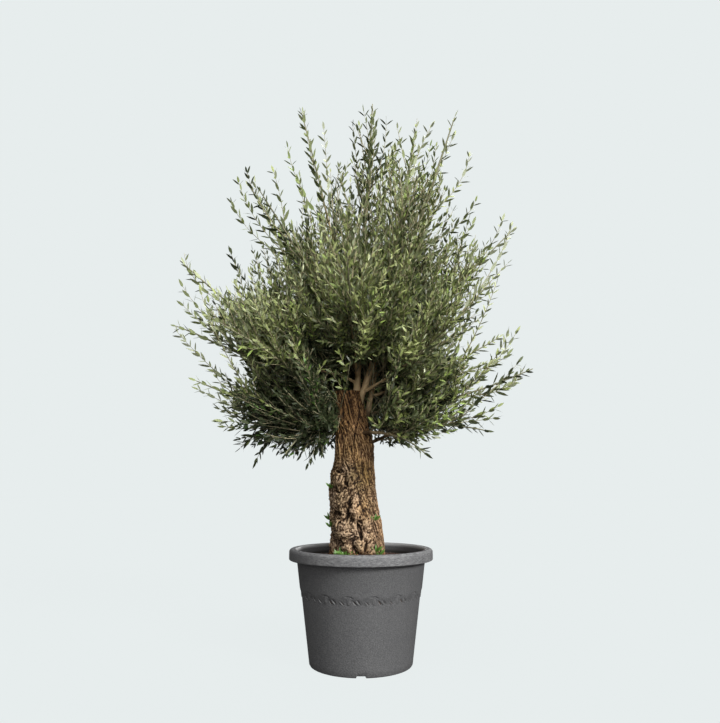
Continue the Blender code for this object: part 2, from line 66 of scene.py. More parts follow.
# Lamps: name, place, softness as an angle, and strength; all face the middle of the plant
LAMPS = (
    ("key", (2.4, -2.4, 2.7), 14.0, 3.0),
    ("top", (-0.3, -1.6, 5.0), 35.0, 2.2),
    ("fill", (0.8, -3.6, 2.3), 40.0, 1.30),
    ("back", (0.6, 2.2, 3.5), 30.0, 0.9),
)
LAMPS_FACE = (0.0, 0.0, 1.1)
WHITE = (255, 255, 255)


def linear(colour):
    """A colour of three bytes in linear light: ((c / 255 + 0.055) / 1.055) ^ 2.4."""
    return tuple(((part / 255 + 0.055) / 1.055) ** 2.4 for part in colour)


def opaque(colour):
    """The same with a fourth part for its cover, which is full."""
    return (*linear(colour), 1.0)


class Shade:
    """One socket of a material's nodes: sums and products of such sockets add Math nodes."""

    def __init__(self, tree, socket=None):
        self.tree = tree
        self.socket = socket

    def node(self, kind, settings, values, output=0):
        """Adds a node: first its settings, then the values or links of its sockets."""
        made = self.tree.nodes.new(kind)
        for name, setting in settings.items():
            setattr(made, name, setting)
        for name, value in values.items():
            if isinstance(value, Shade):
                self.tree.links.new(value.socket, made.inputs[name])
            else:
                made.inputs[name].default_value = value
        return Shade(self.tree, made.outputs[output] if len(made.outputs) else None)

    def maths(self, operation, first, second):
        """A Math node between two values."""
        return self.node("ShaderNodeMath", {"operation": operation}, {0: first, 1: second})

    def __add__(self, other):
        return self.maths("ADD", self, other)

    __radd__ = __add__

    def __sub__(self, other):
        return self.maths("SUBTRACT", self, other)

    def __rsub__(self, other):
        return self.maths("SUBTRACT", other, self)

    def __mul__(self, other):
        return self.maths("MULTIPLY", self, other)

    __rmul__ = __mul__

    def between(self, low, high):
        """0 where this value is at or below low, 1 at or above high, smooth between."""
        return self.node("ShaderNodeMapRange", {"interpolation_type": "SMOOTHSTEP"},
                         {"Value": self, "From Min": low, "From Max": high})

    def mix(self, first, second, blend="MIX"):
        """One colour turning into another as this value goes from 0 to 1."""
        colours = [c if isinstance(c, Shade) else (*c, 1.0) for c in (first, second)]
        return self.node("ShaderNodeMix", {"data_type": "RGBA", "blend_type": blend},
                         {0: self, 6: colours[0], 7: colours[1]}, 2)

    def noise(self, place, scale, detail=2.0, roughness=0.5):
        """Cloudy noise of a given number of cells a metre."""
        return self.node("ShaderNodeTexNoise", {},
                         {"Vector": place, "Scale": scale, "Detail": detail, "Roughness": roughness})

    def attribute(self, name):
        """A value that the mesh carries at its points."""
        return self.node("ShaderNodeAttribute", {"attribute_name": name}, {}, "Fac")

    def part(self, number):
        """One coordinate of this place: 0 across or 2 up."""
        return self.node("ShaderNodeSeparateXYZ", {}, {"Vector": self}, number)

    def scaled(self, *scale):
        """This place with its coordinates multiplied, which draws noise out or flattens it."""
        return self.node("ShaderNodeMapping", {}, {"Vector": self, "Scale": scale})

    def crests(self):
        """Sharp crests where this value passes its middle: 1 - |2v - 1|."""
        return 1 - self.maths("ABSOLUTE", self * 2 - 1, 0.0)

    def ramp(self, bands, colours):
        """Dark turns into middle over the first band, and that into light over the second."""
        dark, middle, light = (linear(colour) for colour in colours)
        first, second = (self.between(*band) for band in bands)
        return second.mix(first.mix(dark, middle), light)

    def bump(self, strength, distance):
        """A bump as high as this value."""
        return self.node("ShaderNodeBump", {}, {
            "Strength": strength, "Distance": distance, "Height": self})


world = bpy.data.worlds.new("studio_sky")
bpy.context.scene.world = world
world.use_nodes = True
world.node_tree.nodes.clear()
sky = Shade(world.node_tree)
seen = sky.node("ShaderNodeBackground", {}, {"Color": opaque(PAPER), "Strength": 1.0})
lit = sky.node("ShaderNodeBackground", {}, {"Color": opaque(WHITE), "Strength": SKY_LIGHT})
straight = sky.node("ShaderNodeLightPath", {}, {}, "Is Camera Ray")
sky.node("ShaderNodeOutputWorld", {}, {
    "Surface": sky.node("ShaderNodeMixShader", {}, {0: straight, 1: lit, 2: seen}),
})
bpy.context.scene.view_settings.view_transform = "Standard"

floor_mesh = bpy.data.meshes.new("floor")
half = FLOOR_HALF_WIDTH
floor_mesh.from_pydata(
    [(-half, -half, -FLOOR_DROP), (half, -half, -FLOOR_DROP),
     (half, half, -FLOOR_DROP), (-half, half, -FLOOR_DROP)], [], [(0, 1, 2, 3)])
floor = bpy.data.objects.new("floor", floor_mesh)
bpy.context.collection.objects.link(floor)
floor_paint = bpy.data.materials.new("floor_paint")
floor_paint.use_nodes = True
floor_paint.node_tree.nodes.clear()
paint = Shade(floor_paint.node_tree)
matt = paint.node("ShaderNodeBsdfDiffuse", {}, {"Color": opaque(PAPER)})
glow = paint.node("ShaderNodeEmission", {}, {"Color": opaque(PAPER), "Strength": FLOOR_GLOW})
dim = paint.node("ShaderNodeEmission", {}, {"Color": opaque(WHITE), "Strength": FLOOR_BOUNCE})
straight = paint.node("ShaderNodeLightPath", {}, {}, "Is Camera Ray")
shown = paint.node("ShaderNodeMixShader", {}, {0: FLOOR_MATT, 1: glow, 2: matt})
paint.node("ShaderNodeOutputMaterial", {}, {
    "Surface": paint.node("ShaderNodeMixShader", {}, {0: straight, 1: dim, 2: shown}),
})
floor_mesh.materials.append(floor_paint)

camera = bpy.data.objects.new("camera", bpy.data.cameras.new("camera"))
bpy.context.collection.objects.link(camera)
camera.location = CAMERA_PLACE
camera.rotation_euler = (math.radians(90) + CAMERA_RISE, 0.0, 0.0)
camera.data.lens = CAMERA_LENS
bpy.context.scene.camera = camera

for lamp_name, place, softness, power in LAMPS:
    lamp = bpy.data.objects.new(lamp_name, bpy.data.lights.new(lamp_name, "SUN"))
    bpy.context.collection.objects.link(lamp)
    lamp.data.angle = math.radians(softness)
    lamp.data.energy = power
    lamp.location = place
    facing = lamp.location - type(lamp.location)(LAMPS_FACE)
    lamp.rotation_euler = facing.to_track_quat("Z", "Y").to_euler()

# Pot
# One rotation-moulded plastic planter: a tapered wall with a garland in low relief where it
# steps in, a thick folded rim, and a foot ring with three notches that let water out.
POT_HEIGHT = 0.447
FOOT_RADIUS = 0.2094
WALL_TAPER = 0.1337
WALL = 0.005
STEP_DEPTH = 0.0045
RIM_RADIUS = 0.300
RIM_BOTTOM = 0.404
RIM_OUTER_ROUND = 0.012
RIM_INNER_ROUND = 0.010
RIM_INNER_RADIUS = 0.2665
RIM_LIP = 0.006
RIM_EDGE_ROUND = 0.004
RIM_GROOVE_TOP = 0.430
FOOT_ROUND = 0.004
FLOOR_TOP = 0.015
FOOT_RING_WIDTH = 0.023
CHANNEL_HEIGHT = 0.009
CHANNEL_INNER_RADIUS = 0.120
CHANNEL_SLOPE = 0.005
NOTCH_COUNT = 3
NOTCH_WIDTH = 0.039
NOTCH_TOP_WIDTH = 0.031
NOTCH_HEIGHT = 0.007
NOTCH_FADES = 0.030
FRONT = math.radians(270)
POT_COLUMNS = 576
GARLAND_LOW = 0.254
GARLAND_HIGH = 0.303
GARLAND_ROWS = 42
GARLAND_REPEATS = 16
GARLAND_SPACING = 0.0965
GARLAND_DIP = 0.271
GARLAND_RISE = 0.013
GARLAND_EDGE = 0.0150
# Leaves of the garland: its two ends as (across, height), half width and relief
GARLAND_LEAVES = (
    ((0.003, 0.2890), (0.000, 0.2620), 0.0080, 0.0030),
    ((0.027, 0.2780), (0.040, 0.2620), 0.0040, 0.0025),
    ((-0.036, 0.2760), (-0.024, 0.2610), 0.0040, 0.0023),
)
# Grooves beside them: the same, cut inwards
GARLAND_GROOVES = (
    ((-0.014, 0.2905), (0.010, 0.2925), 0.0020, 0.0041),
    ((0.008, 0.2920), (0.018, 0.2840), 0.0018, 0.0040),
    ((0.017, 0.2780), (0.030, 0.2620), 0.0026, 0.0048),
    ((0.034, 0.2800), (0.046, 0.2640), 0.0024, 0.0046),
    ((-0.030, 0.2740), (-0.018, 0.2610), 0.0022, 0.0040),
)
POT_COLOUR = (98, 98, 98)
POT_SPECKLE = (73, 73, 74)
POT_PAINTED_LIGHT = (158, 158, 158)
POT_PAINTED_SHADE = (46, 43, 40)
RIM_SHEEN_AND_SCUFFS = (126, 126, 126)
# Noise of the plastic: cells a metre, detail and roughness
GRAINS = (230.0, 4.0, 0.7)
PATCHES = (14.0, 2.0)
SCUFFS = (60.0, 5.0, 0.75)
SKIN = (200.0, 3.0, 0.6)
# Where the rim is scuffed and carries a painted sheen that fades out on the left, away from the
# lamp, where the top of its inner roll is painted light, and where the inside is painted in shade
# towards the soil: from none to full by distance from the axis, by height, and by place across or
# again by height
SHEEN_SCUFF_AWAY, SHEEN_SCUFF_RISE, LIT_SIDE_ACROSS = (0.280, 0.290), (0.400, 0.408), (-0.32, -0.10)
LIT_ROLL_AWAY, LIT_ROLL_RISE = (0.2790, 0.2700), (0.430, 0.442)
SHADED_INSIDE_AWAY, SHADED_INSIDE_BELOW, SHADED_INSIDE_ABOVE = (0.2720, 0.2655), (0.424, 0.411), (0.403, 0.406)


def smooth(low, high, values):
    """0 up to low and 1 from high, with 3t^2 - 2t^3 between; low may be the larger one."""
    t = np.clip((values - low) / (high - low), 0.0, 1.0)
    return t * t * (3 - 2 * t)


def grid_faces(rows, columns, first=0):
    """Quads of a grid numbered row by row, whose last column meets its first one."""
    row, column = np.meshgrid(np.arange(rows - 1), np.arange(columns), indexing="ij")
    beside = (column + 1) % columns
    corners = [row * columns + column, row * columns + beside,
               (row + 1) * columns + beside, (row + 1) * columns + column]
    return first + np.stack(corners, axis=-1).reshape(-1, 4)


def closed_faces(rows, columns):
    """Faces of a closed grid: its quads, and fans to a pole before and one after its points."""
    column = np.arange(columns)
    beside = (column + 1) % columns
    last = (rows - 1) * columns
    low_pole = np.full(columns, rows * columns)
    fans = [np.stack([low_pole, beside, column], axis=-1),
            np.stack([low_pole + 1, last + column, last + beside], axis=-1)]
    return [grid_faces(rows, columns), np.concatenate(fans)]


def new_piece(name, points, face_groups, materials, attributes=(), slots=None):
    """A mesh from an array of points and one array of faces for each number of corners."""
    mesh = bpy.data.meshes.new(name)
    points = np.asarray(points, np.float32).reshape(-1, 3)
    corners = np.concatenate([faces.ravel() for faces in face_groups]).astype(np.int32)
    totals = np.concatenate([np.full(len(faces), faces.shape[1]) for faces in face_groups])
    mesh.vertices.add(len(points))
    mesh.vertices.foreach_set("co", points.ravel())
    mesh.loops.add(len(corners))
    mesh.loops.foreach_set("vertex_index", corners)
    mesh.polygons.add(len(totals))
    mesh.polygons.foreach_set("loop_start", (np.cumsum(totals) - totals).astype(np.int32))
    if slots is not None:
        mesh.polygons.foreach_set("material_index", slots.astype(np.int32))
    mesh.update(calc_edges=True)
    for material in materials:
        mesh.materials.append(material)
    for attribute, values in attributes:
        layer = mesh.attributes.new(attribute, "FLOAT", "POINT")
        layer.data.foreach_set("value", np.asarray(values, np.float32).ravel())
    mesh.shade_smooth()
    piece = bpy.data.objects.new(name, mesh)
    bpy.context.collection.objects.link(piece)
    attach(piece, "root")
    return piece


def new_finish(name, shader_values, make_links=None):
    """A Principled material: plain values on its own sockets, and links that a function makes."""
    material = bpy.data.materials.new(name)
    material.use_nodes = True
    shader = material.node_tree.nodes["Principled BSDF"]
    for socket, value in shader_values.items():
        shader.inputs[socket].default_value = value
    if make_links is not None:
        shade = Shade(material.node_tree)
        place = shade.node("ShaderNodeTexCoord", {}, {}, "Object")
        for socket, value in make_links(shade, place).items():
            material.node_tree.links.new(value.socket, shader.inputs[socket])
    return material


def wall_radius(height):
    """Radius of the tapered wall below the garland: foot radius + taper * height."""
    return FOOT_RADIUS + WALL_TAPER * height


def leaf_form(across, height, start, end, half_width):
    """1 along the middle of a pointed leaf from start to end, 0 outside it: 1 - (d / w)^2,
    with w the half width times the square root of sin(pi * share) along the leaf."""
    run = np.array(end) - start
    share = ((across - start[0]) * run[0] + (height - start[1]) * run[1]) / (run @ run)
    share = np.clip(share, 0.0, 1.0)
    away = np.hypot(across - start[0] - share * run[0], height - start[1] - share * run[1])
    width = half_width * np.sqrt(np.sin(np.pi * np.clip(share, 0.02, 0.98)))
    return np.clip(1 - (away / width) ** 2, 0.0, 1.0)


def garland_relief(turn, height):
    """How far the wall stands out near its step: the full step above a row of arches, and
    pointed leaves that hang in them, sixteen times round."""
    share = (turn * GARLAND_REPEATS / math.tau) % 1.0 - 0.5
    across = share * GARLAND_SPACING
    line = GARLAND_DIP + GARLAND_RISE * np.abs(np.cos(np.pi * share)) ** 0.8
    relief = STEP_DEPTH * smooth(line - GARLAND_EDGE, line + GARLAND_EDGE, height)
    for start, end, half_width, rise in GARLAND_LEAVES:
        form = leaf_form(across, height, start, end, half_width)
        relief = np.maximum(relief, rise * np.sqrt(form))
    for start, end, half_width, depth in GARLAND_GROOVES:
        relief = relief - depth * leaf_form(across, height, start, end, half_width)
    return relief


def arc(centre, radius, start, end, steps):
    """Rows of (radius, height) on a circular arc between two angles in degrees."""
    angles = np.radians(np.linspace(start, end, steps))
    return np.column_stack([centre[0] + radius * np.cos(angles), centre[1] + radius * np.sin(angles)])


ring_inner = FOOT_RADIUS - FOOT_RING_WIDTH
wall_heights = np.concatenate([
    np.linspace(FOOT_ROUND, GARLAND_LOW, 12)[:-1],
    np.linspace(GARLAND_LOW, GARLAND_HIGH, GARLAND_ROWS),
    np.linspace(GARLAND_HIGH, RIM_GROOVE_TOP, 8)[1:],
])
inner_heights = np.linspace(RIM_GROOVE_TOP, FLOOR_TOP, 12)
upper_step = STEP_DEPTH * smooth(GARLAND_DIP, GARLAND_DIP + GARLAND_RISE, inner_heights)
foot_profile = [
    (CHANNEL_INNER_RADIUS, 0.0),
    (CHANNEL_INNER_RADIUS + CHANNEL_SLOPE, CHANNEL_HEIGHT),
    (ring_inner - CHANNEL_SLOPE, CHANNEL_HEIGHT),
    (ring_inner, 0.0),
    (FOOT_RADIUS - FOOT_ROUND / 2, 0.0),
]
pot_profile = np.concatenate([
    foot_profile,
    np.column_stack([wall_radius(wall_heights), wall_heights]),
    [(RIM_RADIUS - RIM_LIP, RIM_GROOVE_TOP),
     (RIM_RADIUS - RIM_LIP, RIM_BOTTOM)],
    arc((RIM_RADIUS - RIM_EDGE_ROUND, RIM_BOTTOM + RIM_EDGE_ROUND), RIM_EDGE_ROUND, -90, 0, 6),
    arc((RIM_RADIUS - RIM_OUTER_ROUND, POT_HEIGHT - RIM_OUTER_ROUND), RIM_OUTER_ROUND, 0, 90, 10),
    arc((RIM_INNER_RADIUS + RIM_INNER_ROUND, POT_HEIGHT - RIM_INNER_ROUND),
        RIM_INNER_ROUND, 90, 180, 9),
    np.column_stack([wall_radius(inner_heights) + upper_step - WALL, inner_heights]),
])
pot_turn, pot_row = np.meshgrid(
    np.arange(POT_COLUMNS) * math.tau / POT_COLUMNS, np.arange(len(pot_profile)))
pot_radius, pot_level = pot_profile[pot_row, 0], pot_profile[pot_row, 1]
on_wall = (pot_row >= len(foot_profile)) & (pot_row < len(foot_profile) + len(wall_heights))
pot_radius = pot_radius + np.where(on_wall, garland_relief(pot_turn - FRONT, pot_level), 0.0)
for notch in range(NOTCH_COUNT):
    away = np.abs((pot_turn - FRONT - notch * math.tau / NOTCH_COUNT + math.pi) % math.tau - math.pi)
    cut = smooth(NOTCH_WIDTH / 2 / FOOT_RADIUS, NOTCH_TOP_WIDTH / 2 / FOOT_RADIUS, away)
    on_foot = (pot_level < NOTCH_FADES) & (pot_radius > ring_inner - CHANNEL_SLOPE / 2)
    lift = NOTCH_HEIGHT * cut * (1 - pot_level / NOTCH_FADES)
    pot_level = np.where(on_foot, pot_level + lift, pot_level)
pot_points = np.stack([pot_radius * np.cos(pot_turn), pot_radius * np.sin(pot_turn), pot_level], -1)
pot_points = np.concatenate([pot_points.reshape(-1, 3), [(0, 0, 0), (0, 0, FLOOR_TOP)]])


def plastic_links(shade, place):
    """Grey plastic with fine grains, each a little lighter or darker, and an orange-peel skin;
    scuffs with a painted sheen on the rim, painted light on top of the inner roll and painted
    shade down the inner wall.
    """
    grains = shade.noise(place, *GRAINS)
    patches = shade.noise(place, *PATCHES)
    speckle = (grains * 0.92 + patches * 0.08).between(0.35, 0.70)
    colour = speckle.mix(linear(POT_SPECKLE), linear(POT_COLOUR))
    flat_place = shade.node("ShaderNodeVectorMath", {"operation": "MULTIPLY"}, {0: place, 1: (1, 1, 0)})
    away = shade.node("ShaderNodeVectorMath", {"operation": "LENGTH"}, {0: flat_place}, "Value")
    rise, across = place.part(2), place.part(0)
    flattened = place.scaled(1.0, 1.0, 5.0)
    scuffs = shade.noise(flattened, *SCUFFS).between(0.38, 0.66)
    # Scuffs on the rim with a painted sheen: lighter towards the lamp on the right, none on the far left
    lit_scuffed_rim = (away.between(*SHEEN_SCUFF_AWAY) * rise.between(*SHEEN_SCUFF_RISE)
              * across.between(*LIT_SIDE_ACROSS))
    colour = (lit_scuffed_rim * scuffs).mix(colour, linear(RIM_SHEEN_AND_SCUFFS))
    # Painted light: the top of the inner roll is painted lighter, as if lit
    lit_roll = away.between(*LIT_ROLL_AWAY) * rise.between(*LIT_ROLL_RISE)
    colour = lit_roll.mix(colour, linear(POT_PAINTED_LIGHT))
    # Painted shade: the inner wall is painted darker down towards the soil, where shade falls
    inside = (away.between(*SHADED_INSIDE_AWAY) * rise.between(*SHADED_INSIDE_BELOW)
              * rise.between(*SHADED_INSIDE_ABOVE))
    colour = inside.mix(colour, linear(POT_PAINTED_SHADE))
    skin = shade.noise(place, *SKIN)
    bump = (grains * 0.5 + skin * 0.8).bump(0.6, 0.0016)
    return {"Base Color": colour, "Normal": bump, "Roughness": 0.46 + 0.26 * grains}


grey_plastic = new_finish("grey_plastic", {"Specular IOR Level": 0.45}, plastic_links)
pot = new_piece("planter", pot_points, closed_faces(len(pot_profile), POT_COLUMNS),
                [grey_plastic])
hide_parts("pot")

# Potting soil
# Damp dark soil that fills the pot to 42 mm under its rim, lumpy on top, with a mulch of
# shredded bark strewn over it.
SOIL_TOP = 0.405
SOIL_GAP = 0.0003
SOIL_LUMPS = 0.006
SOIL_COLUMNS = 160
SOIL_ROWS = 40
CHIPS = 900
CHIP_SIZES = ((0.010, 0.030), (0.004, 0.010), (0.0015, 0.004))
CHIP_SEED = 5
# How far out chips lie as a share of the soil, the least share of that area, how they dip,
# narrow upwards and sit on the soil
CHIP_REACH, CHIP_LEAST, CHIP_DIPS, CHIP_NARROWS, CHIP_SITS = 0.93, 0.16, 0.25, 0.8, 0.6
SOIL_CELLS, SOIL_SEEDS = (28, 75), (11, 12)
SOIL_COLOURS = ((24, 18, 14), (74, 55, 42))
CHIP_COLOURS = ((36, 24, 18), (88, 58, 42))


def cloud(points, seed):
    """Noise from 0 to 1: random values on a lattice of 32 cells a side that repeats, blended
    between the eight corners of a cell by the smooth step 3t^2 - 2t^3."""
    lattice = np.random.default_rng(seed).random((32, 32, 32))
    cell = np.floor(points).astype(int)
    t = points - cell
    t = t * t * (3 - 2 * t)
    total = np.zeros(points.shape[:-1])
    for corner in np.ndindex(2, 2, 2):
        weight = np.prod(np.where(corner, t, 1 - t), axis=-1)
        at = (cell + corner) % 32
        total += weight * lattice[at[..., 0], at[..., 1], at[..., 2]]
    return total


def soil_height(x, y):
    """Height of the soil: a level plus two sizes of lumps."""
    flat = np.stack([x, y, np.zeros_like(x)], -1)
    large, small = (cloud(flat * cells, seed) for cells, seed in zip(SOIL_CELLS, SOIL_SEEDS))
    lumps = large - 0.5 + 0.5 * (small - 0.5)
    return SOIL_TOP + SOIL_LUMPS * lumps


soil_wall = wall_radius(SOIL_TOP) + STEP_DEPTH - WALL - SOIL_GAP
soil_turn, soil_share = np.meshgrid(
    np.arange(SOIL_COLUMNS) * math.tau / SOIL_COLUMNS, np.linspace(1.0, 0.02, SOIL_ROWS))
soil_x = soil_wall * soil_share * np.cos(soil_turn)
soil_y = soil_wall * soil_share * np.sin(soil_turn)
soil_grid = np.stack([soil_x, soil_y, soil_height(soil_x, soil_y)], -1)
soil_foot = soil_grid[:1].copy()
foot_share = (wall_radius(FLOOR_TOP) - WALL - SOIL_GAP) / soil_wall
soil_foot[..., :2] *= foot_share
soil_foot[..., 2] = FLOOR_TOP + SOIL_GAP
soil_points = np.concatenate([
    soil_foot.reshape(-1, 3), soil_grid.reshape(-1, 3),
    [(0, 0, FLOOR_TOP + SOIL_GAP), (0, 0, SOIL_TOP)],
])


def soil_links(shade, place):
    """Dark crumbs, some of them reddish, with a coarse bump."""
    crumbs = shade.noise(place, 160.0, 4.0, 0.65)
    colour = crumbs.between(0.35, 0.70).mix(*map(linear, SOIL_COLOURS))
    bump = crumbs.bump(0.9, 0.004)
    return {"Base Color": colour, "Normal": bump}


def chip_links(shade, place):
    """Shredded bark, with streaks."""
    streaks = shade.noise(place, 300.0, 3.0, 0.6)
    colour = streaks.between(0.3, 0.7).mix(*map(linear, CHIP_COLOURS))
    bump = streaks.bump(0.6, 0.001)
    return {"Base Color": colour, "Normal": bump}


potting_soil = new_finish("potting_soil", {"Roughness": 0.95}, soil_links)
soil = new_piece("soil_surface", soil_points, closed_faces(SOIL_ROWS + 1, SOIL_COLUMNS),
                 [potting_soil])
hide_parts("root_ball")

chance = np.random.default_rng(CHIP_SEED)
chip_turn = chance.uniform(0, math.tau, CHIPS)
chip_away = soil_wall * CHIP_REACH * np.sqrt(chance.uniform(CHIP_LEAST, 1.0, CHIPS))
chip_middle = np.stack([chip_away * np.cos(chip_turn), chip_away * np.sin(chip_turn)], -1)
chip_sizes = np.stack([chance.uniform(low, high, CHIPS) for low, high in CHIP_SIZES], -1)
heading = chance.uniform(0, math.tau, CHIPS)
dip = chance.normal(0, CHIP_DIPS, CHIPS)
chip_along = np.stack([np.cos(heading) * np.cos(dip), np.sin(heading) * np.cos(dip), np.sin(dip)], -1)
chip_across = np.stack([-np.sin(heading), np.cos(heading), np.zeros(CHIPS)], -1)
chip_up = np.cross(chip_along, chip_across)
box_corners = np.array([(x, y, z) for z in (-0.5, 0.5) for y in (-0.5, 0.5) for x in (-0.5, 0.5)])
box_corners[4:, :2] *= CHIP_NARROWS
chip_axes = np.stack([chip_along, chip_across, chip_up], 1) * chip_sizes[:, :, None]
chip_height = soil_height(chip_middle[:, 0], chip_middle[:, 1]) + chip_sizes[:, 2] * CHIP_SITS
chip_points = np.einsum("kc,nci->nki", box_corners, chip_axes)
chip_points += np.column_stack([chip_middle, chip_height])[:, None, :]
box_faces = np.array([
    (0, 2, 3, 1), (4, 5, 7, 6), (0, 1, 5, 4), (2, 6, 7, 3), (0, 4, 6, 2), (1, 3, 7, 5)])
chip_faces = (np.arange(CHIPS)[:, None, None] * 8 + box_faces).reshape(-1, 4)
bark_mulch = new_finish("bark_mulch", {"Roughness": 0.85}, chip_links)
chips = new_piece("bark_mulch", chip_points, [chip_faces], [bark_mulch])
chips.data.shade_flat()

# Trunk
# An old olive trunk that was sawn off at chest height: gnarled burls and winding ridges
# below, long stringy bark with a slight twist above, and a grey saw cut on top.
TRUNK_VIEW = (
    (0.405, -0.128, 0.106),
    (0.500, -0.124, 0.097),
    (0.580, -0.127, 0.084),
    (0.660, -0.132, 0.065),
    (0.757, -0.127, 0.053),
    (0.820, -0.107, 0.048),
    (0.886, -0.101, 0.046),
    (0.940, -0.103, 0.022),
    (1.050, -0.111, 0.008),
    (1.110, -0.117, -0.003),
)
TRUNK_DEPTH = 0.94
TRUNK_LOBES = ((3, 0.050, 2.1, 5.0), (5, 0.030, 0.4, -7.0), (2, 0.030, 1.2, 3.0))
FLARE_HEIGHT = 0.10
FLARE_LOBES, FLARE_DEPTH, FLARE_TURN = 6, 0.06, 1.0
TRUNK_COLUMNS = 320
TRUNK_ROWS = 290
CUT_RINGS = (0.985, 0.94, 0.80, 0.60, 0.40, 0.20, 0.08)
VIEW_ROUNDING = np.array([-0.03, -0.015, 0.0, 0.015, 0.03])
BURLS_END = 0.66
STRINGS_START = 0.90
BURLS_LOWER = 0.20
STRINGS_TWIST = 3.0
FLANK = (0.045, 0.075)
# Clefts: two ends as (x, height), half width and depth, all on the side that faces -Y
CLEFTS = (
    ((-0.018, 0.560), (0.003, 0.486), 0.010, 0.016),
    ((-0.072, 0.726), (-0.052, 0.706), 0.006, 0.007),
    ((-0.112, 0.690), (-0.088, 0.688), 0.005, 0.010),
    ((-0.108, 0.764), (-0.096, 0.756), 0.006, 0.010),
    ((0.052, 0.560), (0.082, 0.470), 0.007, 0.006),
    ((-0.070, 0.800), (-0.040, 0.720), 0.006, 0.007),
    ((-0.012, 1.060), (-0.028, 0.860), 0.006, 0.006),
)
# The photo's middle and its focal length, in pixels, and how far the trunk's face stands forward
PHOTO_MIDDLE = (360.0, 361.5)
PHOTO_FOCUS = 602.5
TRUNK_FACE = 0.10


def from_photo(column, row):
    """Where a pixel of the photo lies on the upright plane through the trunk, as the place across
    and the height to a millimetre: eye + ray * distance / (cos(rise) - sin(rise) * up)."""
    across, up = (column - PHOTO_MIDDLE[0]) / PHOTO_FOCUS, (PHOTO_MIDDLE[1] - row) / PHOTO_FOCUS
    level, steep = math.cos(CAMERA_RISE), math.sin(CAMERA_RISE)
    far = -CAMERA_PLACE[1] / (level - steep * up)
    return (round(CAMERA_PLACE[0] + across * far, 3),
            round(CAMERA_PLACE[2] + far * (steep + level * up), 3))


def on_trunk(column, row):
    """The same on the trunk's face, which is nearer: eye + (place - eye) * share of the way."""
    share = (-CAMERA_PLACE[1] - TRUNK_FACE) / -CAMERA_PLACE[1]
    return tuple(round(eye + (place - eye) * share, 3)
                 for eye, place in zip(CAMERA_PLACE[::2], from_photo(column, row)))


# Burls on that side: place as (across, height), radius and how far each stands out. Eight of
# the places were read off the photo, as the column and row of a pixel
BURLS = (
    (on_trunk(338, 480), 0.026, 0.014),
    (on_trunk(350.5, 475.4), 0.024, 0.015),
    (on_trunk(339.7, 498.5), 0.040, 0.016),
    (on_trunk(355.8, 500.8), 0.020, 0.012),
    (on_trunk(344.3, 512.3), 0.018, 0.012),
    ((-0.017, 0.596), 0.025, 0.017),
    (on_trunk(342, 529), 0.044, 0.020),
    (on_trunk(368, 521.5), 0.030, 0.016),
    (on_trunk(371, 537), 0.032, 0.014),
    ((-0.004, 0.467), 0.022, 0.014),
    ((0.046, 0.452), 0.022, 0.012),
    ((-0.060, 0.455), 0.026, 0.012),
)
# Two noises that bend the others: cells a metre, seeds, and how far each shifts the burls
BENDS = ((13, (21, 22, 23), 0.020), (34, (32, 33, 34), 0.008))
SWAY_CELLS, SWAY_SEED = 6, 35
# Bands from none to full in which the bark changes its kind, across or by height
BURLS_ACROSS = (-0.09, 0.03)
ROUGH_BELOW = (0.86, 0.68)
TANNED_ACROSS, TANNED_BELOW = (-0.01, 0.05), (0.78, 0.66)
ROUGH_WEATHERS, TANNED_WEATHERS, ROUGH_BURLS, FLANK_SMOOTHS = 0.35, 0.80, 0.45, 0.9
# How far the bends and the sway move the borders of those bands
LOWERED_BEND, LOWERED_SWAY, BURLED_BEND = 0.10, 0.12, 0.14
FLANK_BEND, ROUGH_BEND, TANNED_BEND = 0.02, 0.2, 0.03
# Lumps: cells a metre, shares of the bends (the broad ones lie on the shifted places), seed,
# rise, how far it reaches, and crease depth
LUMPS = (
    ((19, 19, 14), None, 50, 0.0070, 0.80, 0.0034),
    ((70, 70, 54), (2.4, 1.8), 51, 0.0040, 0.75, 0.0012),
)
CREASE = 0.3
# Ridges over the burls: cells a metre, shares of the bends, seed, sharpness, mean and rise
WINDINGS = (
    ((128, 128, 84), (3.4, 2.2), 24, 1.4, 0.45, 0.0056),
    ((170, 170, 110), (0.0, 2.2), 25, 1.0, 0.50, 0.0034),
)
# A burl's dome and the crease round it: height, width and place as shares of its radius
DOME, DOME_FLAT, DITCH, DITCH_AT, DITCH_WIDTH = 1.3, 0.85, 0.5, 1.2, 0.3
HELD_IN, HELD_BAND = 0.6, (-0.08, -0.12)
# The twist's own noise: cells a metre, seed and size, and what the bends add to it and to the
# height
TWIST_CELLS, TWIST_SEED, TWIST_SWAYS, TWIST_BEND, LEVEL_BEND = 7, 27, 0.35, 0.06, 0.05
# Bark drawn out along the trunk: cells around and up, shares of the bends, offset, seed,
# sharpness, mean and rise; the first, broad one is left unsharpened
FLUTES = (2.4, 2.5, 5, 28, 0.014)
STRINGS = (
    (4.6, 5.0, (1.2, 0.0), 9, 29, 1.3, 0.45, 0.0100),
    (13, 14, (1.2, 0.6), 3, 30, 1.0, 0.50, 0.0066),
    (21, 34, (0.0, 1.2), 7, 36, 1.0, 0.50, 0.0038),
)
GRIT_CELLS, GRIT_SEED, GRIT_RISE, GRIT_ON_BURLS = 170, 31, 0.0007, 0.0015
FLANK_SINKS, SINKS_ACROSS, SINKS_BELOW = 0.007, (0.02, 0.09), (0.86, 0.74)
# Crests for the colours, which paint shade into the hollows and highlights onto the crests: rows
# blurred each way and the relief of a full crest
FINE_BLUR, FINE_CREST, FINE_SHARE = 2, 0.0019, 0.62
BROAD_BLUR, BROAD_CREST, BROAD_SHARE, BROAD_MOST = 9, 0.0090, 0.78, 0.30
